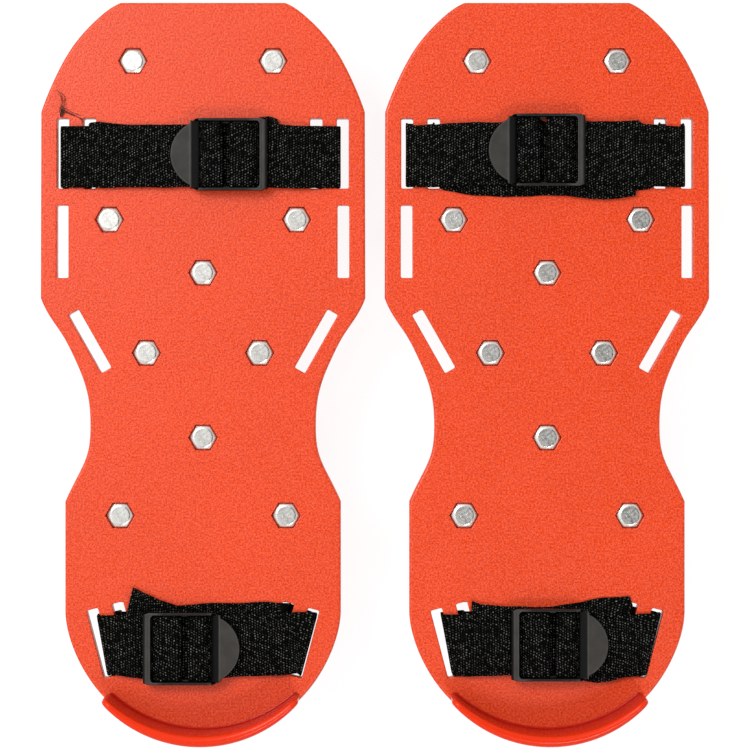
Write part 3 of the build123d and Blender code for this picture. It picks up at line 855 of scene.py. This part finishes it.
def buckle_mesh():
    """Ladder-lock frame in u (away from the tab), v, z over the plate, in millimetres, as one moulded skin."""
    bm = bmesh.new()
    outer = rounded_rect(-15.5, 15.5, 14.5, 3.6, 2.8)
    inner = rounded_rect(-12.4, 12.3, 13.4, 0.4, 1.5)
    lo = [(-15.5, 3.1), (-12.5, 2.4), (-9, 2.3), (9.6, 2.3), (12.6, 3.1), (15.5, 3.9)]
    hi = [(-15.5, 5.7), (-13.2, 6.35), (-8, 6.5), (8, 6.5), (12.5, 6.45), (14.6, 6.2), (15.5, 5.6)]

    def lo_fn(u, v):
        return lerp_table(lo, u)

    def hi_fn(u, v):
        if abs(v) < 13.45 and u < -12.0:
            return 3.3
        return lerp_table(hi, u)
    add_closed_sweep(bm, inner, outer, lo_fn, hi_fn)
    # end bar: round, its centre is the pivot
    add_prism_y(bm, [(13.9 + 1.62 * math.cos(math.radians(a)), 4.7 + 1.6 * math.sin(math.radians(a))) for a in range(0, 360, 15)], -14.0, 14.0)
    # two cross bars
    for u0, u1 in ((-8.4, -3.6), (1.1, 7.8)):
        prof = [(u0 + 0.4, 3.2), (u1 - 0.4, 3.2), (u1, 3.6), (u1, 4.4), (u1 - 0.5, 4.9), (u0 + 0.5, 4.9), (u0, 4.4), (u0, 3.6)]
        add_prism_y(bm, prof, -14.0, 14.0)
    # tab bar: its top falls steeply towards the window
    add_prism_y(bm, [(-15.6, 3.05), (-11.8, 2.95), (-11.8, 3.55), (-15.1, 5.65), (-15.6, 5.7)], -13.6, 13.6)
    # ledge inside each rail, under the webbing's edge
    for v0, v1 in ((12.5, 13.7), (-13.7, -12.5)):
        add_prism_y(bm, [(-12.6, 2.4), (12.6, 2.4), (12.6, 3.1), (-12.6, 3.1)], v0, v1)
    # thumb tab
    rr, half = 13.7, 12.7
    chord = -14.9
    cu = -23.4 + rr
    tilt = math.radians(7.0)
    pts = []
    a_max = math.acos((cu - chord) / rr)
    a_lim = min(a_max, math.asin(half / rr))
    for k in range(33):
        a = -a_lim + 2 * a_lim * k / 32
        pts.append((cu - rr * math.cos(a), rr * math.sin(a)))
    pts = [(chord, pts[0][1])] + pts + [(chord, pts[-1][1])]
    lo_r, hi_r = [], []
    for u, v in pts:
        up = (chord - u) * math.tan(tilt)
        edge = max(0.0, (chord - u) / (chord + 23.4))
        lo_r.append(bm.verts.new((u, v, 3.3 + up)))
        hi_r.append(bm.verts.new((u, v, 5.55 - 0.25 * edge + up * 0.55)))
    n = len(pts)
    for i in range(n):
        j = (i + 1) % n
        bm.faces.new((lo_r[i], lo_r[j], hi_r[j], hi_r[i]))
    bm.faces.new(lo_r[::-1])
    bm.faces.new(hi_r)
    bmesh.ops.recalc_face_normals(bm, faces=bm.faces)
    me = bpy.data.meshes.new("buckle")
    bm.to_mesh(me)
    bm.free()
    ob = link("buckle_work", me)
    rm = ob.modifiers.new("remesh", "REMESH")
    rm.mode = "VOXEL"
    rm.voxel_size = 0.24
    rm.adaptivity = 0.0
    sm = ob.modifiers.new("smooth", "SMOOTH")
    sm.factor = 0.5
    sm.iterations = 3
    apply_modifiers(ob)
    me = ob.data
    bpy.data.objects.remove(ob)
    # edge wear and painted edge highlights: convex places, from how far a vertex stands out from its neighbours
    co = np.zeros(len(me.vertices) * 3, np.float32)
    me.vertices.foreach_get("co", co)
    co = co.reshape(-1, 3)
    no = np.zeros(len(me.vertices) * 3, np.float32)
    me.vertices.foreach_get("normal", no)
    no = no.reshape(-1, 3)
    ed = np.zeros(len(me.edges) * 2, np.int32)
    me.edges.foreach_get("vertices", ed)
    ed = ed.reshape(-1, 2)
    acc = np.zeros_like(co)
    cnt = np.zeros(len(co))
    for a, b2 in ((0, 1), (1, 0)):
        np.add.at(acc, ed[:, a], co[ed[:, b2]])
        np.add.at(cnt, ed[:, a], 1)
    lap = co - acc / np.maximum(cnt, 1)[:, None]
    stand = np.einsum("ij,ij->i", lap, no)
    val = np.clip(stand / 0.035, 0, 1)
    for _ in range(2):
        s = np.zeros(len(co))
        np.add.at(s, ed[:, 0], val[ed[:, 1]])
        np.add.at(s, ed[:, 1], val[ed[:, 0]])
        val = 0.5 * val + 0.5 * s / np.maximum(cnt, 1)
    at = me.attributes.new("edge_wear_and_highlight", "FLOAT", "POINT")
    at.data.foreach_set("value", val.astype(np.float32))
    # the mould has a grain where faces look up and is polished on its sides and slopes; the sides and slopes are also
    # given a near-black colour as painted shade
    up = np.clip((no[:, 2] - 0.86) / 0.11, 0, 1)
    for _ in range(1):
        sm_ = np.zeros(len(co))
        np.add.at(sm_, ed[:, 0], up[ed[:, 1]])
        np.add.at(sm_, ed[:, 1], up[ed[:, 0]])
        up = 0.5 * up + 0.5 * sm_ / np.maximum(cnt, 1)
    # the rails are rubbed smooth by the webbing, and take the near-black colour too as painted shade
    up *= 1 - 0.65 * np.clip((11.5 - np.abs(co[:, 0] + 1.5)) / 3.0, 0, 1) * (np.abs(co[:, 1]) > 12.8)
    at = me.attributes.new("grain_and_slope_shade", "FLOAT", "POINT")
    at.data.foreach_set("value", up.astype(np.float32))
    me.transform(Matrix.Scale(MM, 4))
    me.polygons.foreach_set("use_smooth", [True] * len(me.polygons))
    me.materials.append(MAT_BUCKLE)
    return me


BUCKLE_MESH = buckle_mesh()
# side, which, strap middle y, buckle x and y on its plate, side of the tab, tail ends
SETS = [
    ("left", "front", 88.0, 10.7, 88.4, -1, (-45.0, 33.0)),
    ("right", "front", 89.4, -0.4, 90.2, -1, (-45.0, 37.0)),
    ("left", "heel", -109.0, -8.3, -109.7, 1, (35.0, -31.0)),
    ("right", "heel", -108.3, 0.8, -108.2, 1, (32.2, -31.0)),
]


def strap_frame(side, tab):
    """Matrix from (u, y, z over the plate, mm) to the row frame."""
    sx = -1 if side == "left" else 1
    m = Matrix.Translation((sx * CLEAT_X * MM, SHIFT_Y * MM, TOP * MM))
    return m @ Matrix.Diagonal((-tab * MM, MM, MM, 1.0))


for side, which, yc, xb, yb, tab, tails in SETS:
    sx = -1 if side == "left" else 1
    me = BUCKLE_MESH.copy()
    if tab > 0:
        me.transform(Matrix.Rotation(math.pi, 4, "Z"))
    me.transform(Matrix.Translation(((sx * CLEAT_X + xb) * MM, (yb + SHIFT_Y) * MM, TOP * MM)))
    ob = link(f"{side}_{which}_ladder_lock", me)
    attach(ob, f"{side}_{which}_buckle")
    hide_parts(f"{side}_{which}_buckle")


# ---------------------------------------------------------------- webbing
WEB_T = 0.98
# middle of each layer over the plate's top: across the sole, loose end, end turned back, strands, over the bars, under the plate
Z_LOW, Z_TAIL, Z_FIX, Z_STRAND, Z_OVER, Z_UNDER = 0.56, 1.60, 2.66, 2.40, 5.45, -6.55
STEP = 0.8


def sample_column(pts, radii, counts, arc_n):
    """Polyline with filleted corners: returns points and their parameter (control index)."""
    k = len(pts)
    p = [np.array(q, float) for q in pts]
    cut_in, cut_out, arcs = [0.0] * k, [0.0] * k, [None] * k
    for i in range(1, k - 1):
        d0, d1 = p[i] - p[i - 1], p[i + 1] - p[i]
        l0, l1 = np.linalg.norm(d0), np.linalg.norm(d1)
        d0, d1 = d0 / l0, d1 / l1
        turn = math.atan2(d0[0] * d1[1] - d0[1] * d1[0], float(d0 @ d1))
        t = radii[i] * math.tan(abs(turn) / 2)
        t = min(t, 0.48 * l0, 0.48 * l1)
        r = t / max(1e-6, math.tan(abs(turn) / 2))
        cut_in[i], cut_out[i] = t / l0, t / l1
        arcs[i] = (p[i] - d0 * t, d0, turn, r, t)
    out, par = [p[0]], [0.0]
    for i in range(1, k):
        a = p[i - 1] + (p[i] - p[i - 1]) * cut_out[i - 1]
        b = p[i] - (p[i] - p[i - 1]) * cut_in[i]
        ta, tb = i - 1 + cut_out[i - 1], i - cut_in[i]
        for s in range(1, counts[i - 1] + 1):
            f = s / counts[i - 1]
            out.append(a + (b - a) * f)
            par.append(ta + (tb - ta) * f)
        if i < k - 1:
            start, d0, turn, r, t = arcs[i]
            tc, td = i - cut_in[i], i + cut_out[i]
            nrm = np.array([-d0[1], d0[0]]) * (1 if turn > 0 else -1)
            centre = start + nrm * r
            for s in range(1, arc_n + 1):
                f = s / arc_n
                a_ = abs(turn) * f
                if abs(turn) < 1e-4:
                    q = start + d0 * (2 * t * f)
                else:
                    q = centre - nrm * r * math.cos(a_) + d0 * r * math.sin(a_)
                out.append(q)
                par.append(tc + (td - tc) * f)
    return np.array(out), np.array(par)


def web_strip(name, ctrl, seed, cols=30, arc_n=6, ripple=0.10):
    """ctrl rows: (u or function of y, z, y low, y high, corner radius). Returns an object in u, y, z (mm)."""
    k = len(ctrl)
    radii = [c[4] for c in ctrl]

    def pts_at(f):
        out = []
        for u, z, lo, hi, _ in ctrl:
            y = lo + (hi - lo) * f
            out.append((u(y) if callable(u) else u, z(y) if callable(z) else z))
        return out
    base = pts_at(0.5)
    counts = [max(2, int(math.hypot(base[i + 1][0] - base[i][0], base[i + 1][1] - base[i][1]) / STEP)) for i in range(k - 1)]
    fs = [0.5 - 0.5 * math.cos(math.pi * j / cols) if False else j / cols for j in range(cols + 1)]
    fs[1], fs[-2] = 0.012, 0.988
    ylo = np.array([c[2] for c in ctrl])
    yhi = np.array([c[3] for c in ctrl])
    columns = []
    for f in fs:
        p, t = sample_column(pts_at(f), radii, counts, arc_n)
        lo = np.interp(t, range(k), ylo)
        hi = np.interp(t, range(k), yhi)
        columns.append((p, lo + (hi - lo) * f, t))
    n = len(columns[0][0])
    mid = columns[len(fs) // 2][0]
    run = np.concatenate([[0], np.cumsum(np.linalg.norm(np.diff(mid, axis=0), axis=1))])
    rng = np.random.default_rng(seed)
    ph = rng.uniform(0, 6.28, 8)
    m = len(fs)
    top = np.zeros((m, n, 3))
    low = np.zeros((m, n, 3))
    for j, (p, y, t) in enumerate(columns):
        # smooth the edge offsets along the strip
        y = y + 0.10 * np.sin(run / 3.7 + ph[0]) + 0.07 * np.sin(run / 1.9 + ph[1])
        d = np.gradient(p, axis=0)
        ln = np.maximum(np.linalg.norm(d, axis=1), 1e-9)
        d = d / ln[:, None]
        nx, nz = -d[:, 1], d[:, 0]
        edge = abs(2 * fs[j] - 1)
        half = WEB_T / 2 * (1.0 if edge < 0.95 else (0.86 if edge < 0.99 else 0.45))
        # ripples: slack across the strip, and a slight crown
        w = ripple * (0.6 * np.sin(run / 5.3 + ph[2] + 1.3 * fs[j]) + 0.4 * np.sin(run / 2.6 + ph[3] - 2.1 * fs[j]))
        w = w + 0.04 * (1 - edge**2)
        c0 = p[:, 0] + nx * w
        c1 = p[:, 1] + nz * w
        top[j] = np.stack([c0 + nx * half, y, c1 + nz * half], 1)
        low[j] = np.stack([c0 - nx * half, y, c1 - nz * half], 1)
    verts = np.concatenate([top.reshape(-1, 3), low.reshape(-1, 3)])
    off = m * n
    faces, uvs = [], []

    def vt(j, i):
        return j * n + i

    width = float(np.mean(yhi - ylo))

    def uv(j, i):
        return (float(run[i]), fs[j] * width)
    for j in range(m - 1):
        for i in range(n - 1):
            faces.append((vt(j, i), vt(j, i + 1), vt(j + 1, i + 1), vt(j + 1, i)))
            uvs.append((uv(j, i), uv(j, i + 1), uv(j + 1, i + 1), uv(j + 1, i)))
            faces.append((off + vt(j, i), off + vt(j + 1, i), off + vt(j + 1, i + 1), off + vt(j, i + 1)))
            uvs.append((uv(j, i), uv(j + 1, i), uv(j + 1, i + 1), uv(j, i + 1)))
    for i in range(n - 1):
        faces.append((vt(0, i), off + vt(0, i), off + vt(0, i + 1), vt(0, i + 1)))
        uvs.append((uv(0, i), uv(0, i), uv(0, i + 1), uv(0, i + 1)))
        e = m - 1
        faces.append((vt(e, i), vt(e, i + 1), off + vt(e, i + 1), off + vt(e, i)))
        uvs.append((uv(e, i), uv(e, i + 1), uv(e, i + 1), uv(e, i)))
    for j in range(m - 1):
        faces.append((vt(j, 0), vt(j + 1, 0), off + vt(j + 1, 0), off + vt(j, 0)))
        uvs.append((uv(j, 0), uv(j + 1, 0), uv(j + 1, 0), uv(j, 0)))
        e = n - 1
        faces.append((vt(j, e), off + vt(j, e), off + vt(j + 1, e), vt(j + 1, e)))
        uvs.append((uv(j, e), uv(j, e), uv(j + 1, e), uv(j + 1, e)))
    me = bpy.data.meshes.new(name)
    me.from_pydata([tuple(v) for v in verts], [], faces)
    layer = me.uv_layers.new(name="weave")
    flat = [c for quad in uvs for p in quad for c in p]
    layer.data.foreach_set("uv", flat)
    me.update()
    me.polygons.foreach_set("use_smooth", [True] * len(me.polygons))
    me.materials.append(MAT_WEB)
    return link(name, me), float(run[-1])


def px_u(px, side, tab):
    """Plate x of a column of the sheet the layout was measured on."""
    centre = 203.0 if side == "left" else 548.0
    return (px - centre) * 0.4027 * -tab


def py_y(py):
    return 150.0 - (py - 2.5) * 0.4027


# x of the legs in the outer slots at the strap's middle, and how it changes with y: left-hand leg, right-hand leg
LEGS = {
    ("left", "front"): (-56.9, 0.0, 55.0, 0.0),
    ("right", "front"): (-56.45, 0.0, 55.2, 0.0),
    ("left", "heel"): (-40.17, -0.181, 42.32, 0.2595),
    ("right", "heel"): (-40.17, -0.19, 42.5, 0.24),
}


def strap(side, which, yc, xb, yb, tab, strand_a, strand_b, low, tail, gap_y, cut):
    """Four lengths of one strip: both strands, the loose end, and the run across the sole with its turns round the ribs.
    Every row is (u, z, y low, y high); u runs from the tab's side to the end bar's."""
    b = xb * -tab
    m = strap_frame(side, tab)
    yl, yh = yb - 12.9, yb + 12.85            # inside the buckle's window
    ul, uh = yc - 12.4, yc + 12.4             # in the outer slots
    xn, kn, xp, kp = LEGS[side, which]
    if which == "front":
        inner = lambda y: 45.6
        ila, iha = ilb, ihb = yc - 12.4, yc + 12.4
    else:
        inner = lambda y: 30.93 + math.tan(math.radians(14.7)) * (y + 105.28)
        ila, iha = -117.8, (-92.4 if side == "left" else -93.6)
        ilb, ihb = -118.6, -95.2
    leg_a = (lambda y: xn + kn * (y - yc)) if tab < 0 else (lambda y: -(xp + kp * (y - yc)))
    leg_b = (lambda y: xp + kp * (y - yc)) if tab < 0 else (lambda y: -(xn + kn * (y - yc)))
    in_a, in_b = (lambda y: -inner(y)), inner
    seed = len(side) * 10 + len(which)
    ga, gb = b - 2.9, b + 0.4
    # tab side: down between the bars, over the first bar, strand, down through the outer slot
    a_lo, a_hi = strand_a[-1][2], strand_a[-1][3]
    rows = [(ga, 2.25, yl, yh, 0), (ga, Z_OVER, yl, yh, 2.3), (b - 9.0, Z_OVER, yl, yh, 2.2), (b - 11.6, Z_STRAND, yl, yh, 1.2)]
    rows += [(u, z, lo, hi, 6.0) for u, z, lo, hi in strand_a]
    rows += [(leg_a, 0.62, a_lo, a_hi, 1.1), (leg_a, -3.0, ul, uh, 0)]
    pieces = [("strand_a", rows, 1)]
    # end bar's side: turned back under the second bar, over it, strand, outer slot
    b_lo, b_hi = strand_b[0][2], strand_b[0][3]
    rows = [(leg_b, -3.0, ul, uh, 0), (leg_b, 0.62, b_lo, b_hi, 1.1)]
    rows += [(u, z, lo, hi, 6.0) for u, z, lo, hi in strand_b]
    rows += [(b + 12.2, Z_STRAND + 0.2, yl, yh, 1.4), (b + 8.4, Z_OVER, yl, yh, 2.2), (gb, Z_OVER, yl, yh, 2.3), (gb, Z_FIX, yl, yh, 0.55), (b + 6.5, Z_FIX, yl, yh, 0)]
    pieces.append(("strand_b", rows, 2))
    # loose end, under the second strand
    g0, g1 = gap_y
    rows = [(ga, 2.2, yl, yh, 0), (ga, Z_TAIL, yl, yh, 0.55), (b + 1.5, Z_TAIL, g0, g1, 0)]
    for i, (u, z, lo, hi) in enumerate(tail):
        last = i == len(tail) - 1
        rows.append(((lambda y, u=u: u + cut * (y - yc)) if last else u, z, lo, hi, 3.0))
    pieces.append(("loose_end", rows, 2))
    # across the sole, down through the inner slots and round the ribs to the outer ones
    (_, _, l0, h0), (_, _, l1, h1) = low[0], low[-1]
    rows = [(leg_a, -3.0, ul, uh, 0), (leg_a, Z_UNDER, ul, uh, 1.1), (in_a, Z_UNDER, ila, iha, 1.1), (in_a, -2.0, ila, iha, 0), (in_a, Z_LOW, max(l0, ila), min(h0, iha + 1.0), 1.0)]
    rows += [(u, z, lo, hi, 5.0) for u, z, lo, hi in low]
    rows += [(in_b, Z_LOW, max(l1, ilb), min(h1, ihb + 1.0), 1.0), (in_b, -2.0, ilb, ihb, 0), (in_b, Z_UNDER, ilb, ihb, 1.1), (leg_b, Z_UNDER, ul, uh, 1.1), (leg_b, -3.0, ul, uh, 0)]
    pieces.append(("run", rows, 0))
    root, body = f"{side}_cleat", f"{side}_{which}_buckle"
    total = 0.0
    for n, (label, rows, mode) in enumerate(pieces):
        ob, length = web_strip(f"{side}_{which}_webbing_{label}", rows, seed + n)
        ob.data.transform(m)
        bm = bmesh.new()
        bm.from_mesh(ob.data)
        bmesh.ops.recalc_face_normals(bm, faces=bm.faces)
        bm.to_mesh(ob.data)
        bm.free()
        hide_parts(f"{side}_{which}_strap")

        def world(u):
            return tuple(m @ Vector((u, yb, 2.0)))
        if mode == 0:
            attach(ob, root)
        elif mode == 1:
            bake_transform(ob)
        else:
            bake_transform(ob)
        total += length
    print("WEBBING", side, which, round(total, 1), "mm")


Y = py_y


def frayed_yarns():
    """Loose filaments at the top of the left cleat's front outer slot, lying on the plate: one mesh."""
    routes = [
        # radius, then plate x, y and height over the plate of each filament's points
        (0.10, [(-56.9, 103.7, 0.3), (-57.0, 105.6, 0.8), (-57.1, 107.8, 1.1), (-56.5, 109.9, 0.9), (-56.8, 112.1, 0.6), (-58.1, 114.0, 0.3), (-59.5, 114.8, 0.2)]),
        (0.10, [(-56.7, 104.4, 0.5), (-56.0, 106.7, 1.0), (-55.5, 109.4, 0.9), (-55.7, 112.1, 0.5), (-57.6, 114.0, 0.2)]),
        (0.09, [(-56.4, 106.0, 0.7), (-56.5, 108.8, 0.8), (-57.3, 112.1, 0.4), (-58.7, 113.2, 0.2)]),
        (0.09, [(-57.3, 103.8, 0.3), (-57.6, 106.4, 0.5), (-56.9, 108.6, 1.2), (-55.9, 110.4, 0.7), (-55.2, 111.2, 0.2)]),
        (0.15, [(-56.9, 103.8, 0.3), (-57.1, 105.6, 0.9), (-56.3, 106.8, 1.1), (-55.9, 105.8, 0.8), (-56.6, 105.0, 0.5), (-57.0, 106.4, 0.9), (-56.4, 107.4, 1.0)]),
        (0.14, [(-56.6, 103.9, 0.3), (-56.2, 105.2, 0.8), (-56.8, 106.6, 1.2), (-57.2, 107.6, 0.9), (-56.5, 108.1, 0.6), (-56.0, 107.0, 0.6)]),
        (0.14, [(-56.6, 107.0, 0.9), (-55.4, 106.3, 0.6), (-53.6, 105.5, 0.25), (-50.9, 104.1, 0.2), (-48.6, 102.9, 0.3), (-47.9, 101.6, 1.0)]),
        (0.12, [(-56.8, 106.0, 0.5), (-55.0, 105.6, 0.4), (-52.6, 104.7, 0.2), (-50.0, 103.7, 0.2), (-48.9, 102.6, 0.5), (-48.4, 101.2, 1.2)]),
        (0.09, [(-56.4, 107.4, 0.6), (-54.6, 106.9, 0.6), (-52.2, 105.5, 0.4), (-50.2, 104.9, 0.2), (-48.9, 104.0, 0.2)]),
    ]
    verts, faces = [], []
    for k, (thick, pts) in enumerate(routes):
        pts = [Vector(p) for p in pts]
        line_ = []
        for i in range(len(pts) - 1):
            p0, p1, p2, p3 = pts[max(i - 1, 0)], pts[i], pts[i + 1], pts[min(i + 2, len(pts) - 1)]
            for q in range(8):
                t = q / 8
                line_.append(0.5 * ((2 * p1) + (p2 - p0) * t + (2 * p0 - 5 * p1 + 4 * p2 - p3) * t * t + (3 * p1 - p0 - 3 * p2 + p3) * t ** 3))
        line_.append(pts[-1])
        base, n = len(verts), len(line_)
        for i, p in enumerate(line_):
            d = (line_[min(i + 1, n - 1)] - line_[max(i - 1, 0)]).normalized()
            e1 = d.cross(Vector((0, 0, 1))).normalized()
            e2 = e1.cross(d)
            r = thick * (1 + 0.15 * math.sin(k * 2.1 + i * 0.7)) * (1.0 if i < n - 5 else 0.35 + 0.13 * (n - 1 - i))
            for a in range(6):
                w = a * math.pi / 3
                v = p + (e1 * math.cos(w) + e2 * math.sin(w)) * r
                verts.append(((v.x - CLEAT_X) * MM, (v.y + SHIFT_Y) * MM, (v.z + TOP) * MM))
        for i in range(n - 1):
            for a in range(6):
                c = (a + 1) % 6
                faces.append((base + i * 6 + a, base + i * 6 + c, base + (i + 1) * 6 + c, base + (i + 1) * 6 + a))
        faces.append(tuple(base + a for a in range(6))[::-1])
        faces.append(tuple(base + (n - 1) * 6 + a for a in range(6)))
    me = mesh_from("left_front_frayed_yarns", verts, faces)
    bm = bmesh.new()
    bm.from_mesh(me)
    bmesh.ops.recalc_face_normals(bm, faces=bm.faces)
    bm.to_mesh(me)
    bm.free()
    me.materials.append(MAT_YARN)
    ob = link("left_front_frayed_yarns", me)
    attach(ob, "left_cleat")
    return ob


FRAYED = frayed_yarns()
b = 10.7
strap(
    "left", "front", 88.0, b, 88.3, -1,
    [(b - 16, 2.35, Y(187.6), Y(125.2)), (b - 30, 2.1, Y(187.8), Y(126.6)), (-38, 1.9, Y(188), Y(126.8)), (-46.5, 1.7, Y(188), Y(126.6)), (-51.5, 1.1, Y(188), Y(126.5))],
    [(51.5, 0.9, Y(188.4), Y(126.6)), (44, 1.7, Y(188.6), Y(126.4)), (36.5, 2.4, Y(188.6), Y(125.8)), (b + 18, 2.65, Y(188.4), Y(125.0))],
    [(-41.5, Z_LOW, Y(183.8), Y(121.7)), (-34, Z_LOW, Y(186), Y(124.0)), (-24.5, Z_LOW, Y(187), Y(125.2)), (-15, Z_LOW, Y(186.6), Y(124.6)), (0, Z_LOW, Y(186), Y(124.4)), (20, Z_LOW, Y(188), Y(126.4)), (40, Z_LOW, Y(188), Y(126.6))],
    [(b + 9, Z_TAIL, Y(180), Y(119.4)), (b + 16, Z_TAIL, Y(177.5), Y(116.6)), (33.0, Z_TAIL, Y(180), Y(119.0))],
    (Y(184), Y(121.5)), -0.19)

b = -0.4
strap(
    "right", "front", 89.4, b, 90.2, -1,
    [(b - 16, 2.35, Y(184.6), Y(122.4)), (b - 28, 2.1, Y(185.4), Y(122.8)), (-38, 1.9, Y(186.6), Y(123.6)), (-47.0, 1.7, Y(187.4), Y(124.8)), (-51.5, 1.1, Y(187.6), Y(125.8))],
    [(51.5, 0.9, Y(187.2), Y(126.4)), (44, 1.7, Y(187.2), Y(125.4)), (38.4, 2.3, Y(187.0), Y(124.3)), (36.4, 2.5, Y(186.6), Y(120.4)), (31, 2.6, Y(185.8), Y(121.6)), (b + 18, 2.65, Y(184.8), Y(122.4))],
    [(-42, Z_LOW, Y(190.2), Y(128.4)), (-36, Z_LOW, Y(192.9), Y(131)), (-28, Z_LOW, Y(195.7), Y(134)), (-17, Z_LOW, Y(197.2), Y(135.4)), (-4, Z_LOW, Y(195.8), Y(134)), (12, Z_LOW, Y(196), Y(134.2)), (28, Z_LOW, Y(193), Y(131)), (41, Z_LOW, Y(189), Y(127.5))],
    [(b + 9, Z_TAIL, Y(196.6), Y(137)), (b + 18, Z_TAIL, Y(199.2), Y(139)), (28.5, Z_TAIL, Y(199.2), Y(138)), (36.0, Z_TAIL, Y(196.0), Y(135))],
    (Y(195), Y(124.5)), 0.03)

# on the heels the tab is on the right, so u runs to the left
b = 8.3
strap(
    "left", "heel", -109.0, -b, -109.7, 1,
    [(b - 16, 2.35, Y(677.0), Y(615.6)), (b - 28, 2.1, Y(675.6), Y(613.4)), (-33, 1.8, Y(674.2), Y(612.4)), (-37.2, 1.2, Y(673.4), Y(612.2))],
    [(36.6, 1.1, Y(674.4), Y(614.8)), (32, 2.2, Y(675.6), Y(614.2)), (b + 18, 2.65, Y(677.6), Y(615.6))],
    [(-30.5, Z_LOW, Y(664.0), Y(602.6)), (-26.5, Z_LOW, Y(663), Y(601.3)), (-20, Z_LOW, Y(664), Y(602.4)), (-13, Z_LOW, Y(665), Y(603.2)), (-4, Z_LOW, Y(664), Y(602.2)), (4, Z_LOW, Y(666.5), Y(604.6)), (12, Z_LOW, Y(668.5), Y(605.6)), (28, Z_LOW, Y(671), Y(611.5))],
    [(b + 4.0, Z_TAIL, Y(665.5), Y(603.4)), (b + 9, Z_TAIL, Y(661), Y(599.8)), (b + 14, Z_TAIL, Y(655), Y(593.4)), (33.9, Z_TAIL, Y(648.5), Y(587.0))],
    (Y(678.5), Y(606.0)), -0.25)

b = -0.8
strap(
    "right", "heel", -108.3, -b, -108.2, 1,
    [(b - 13.5, 2.35, Y(679.5), Y(616.0)), (b - 19, 2.25, Y(682.5), Y(619.5)), (b - 24, 2.1, Y(681.0), Y(618.5)), (-30, 1.9, Y(677.0), Y(615.0)), (-37.2, 1.2, Y(675.4), Y(613.0))],
    [(36.8, 1.1, Y(675.8), Y(614.4)), (32, 2.2, Y(676.0), Y(614.2)), (b + 18, 2.65, Y(674.4), Y(612.8))],
    [(lambda y: -(30.93 + 0.2623 * (y + 105.28)) + 1.9, Z_LOW, Y(657.5), Y(596.0)), (-24.0, Z_LOW, Y(658.6), Y(597.0)), (-20, Z_LOW, Y(660), Y(598.5)), (-13, Z_LOW, Y(664), Y(602.2)), (-2, Z_LOW, Y(667), Y(606.0)), (12, Z_LOW, Y(670), Y(609)), (27, Z_LOW, Y(671), Y(611.5))],
    [(b + 8, Z_TAIL, Y(668), Y(606.6)), (b + 17, Z_TAIL, Y(667), Y(605.7)), (26.6, Z_TAIL, Y(665.5), Y(604.0)), (31.2, Z_TAIL, Y(662), Y(600.6))],
    (Y(675.5), Y(606.8)), -0.05)
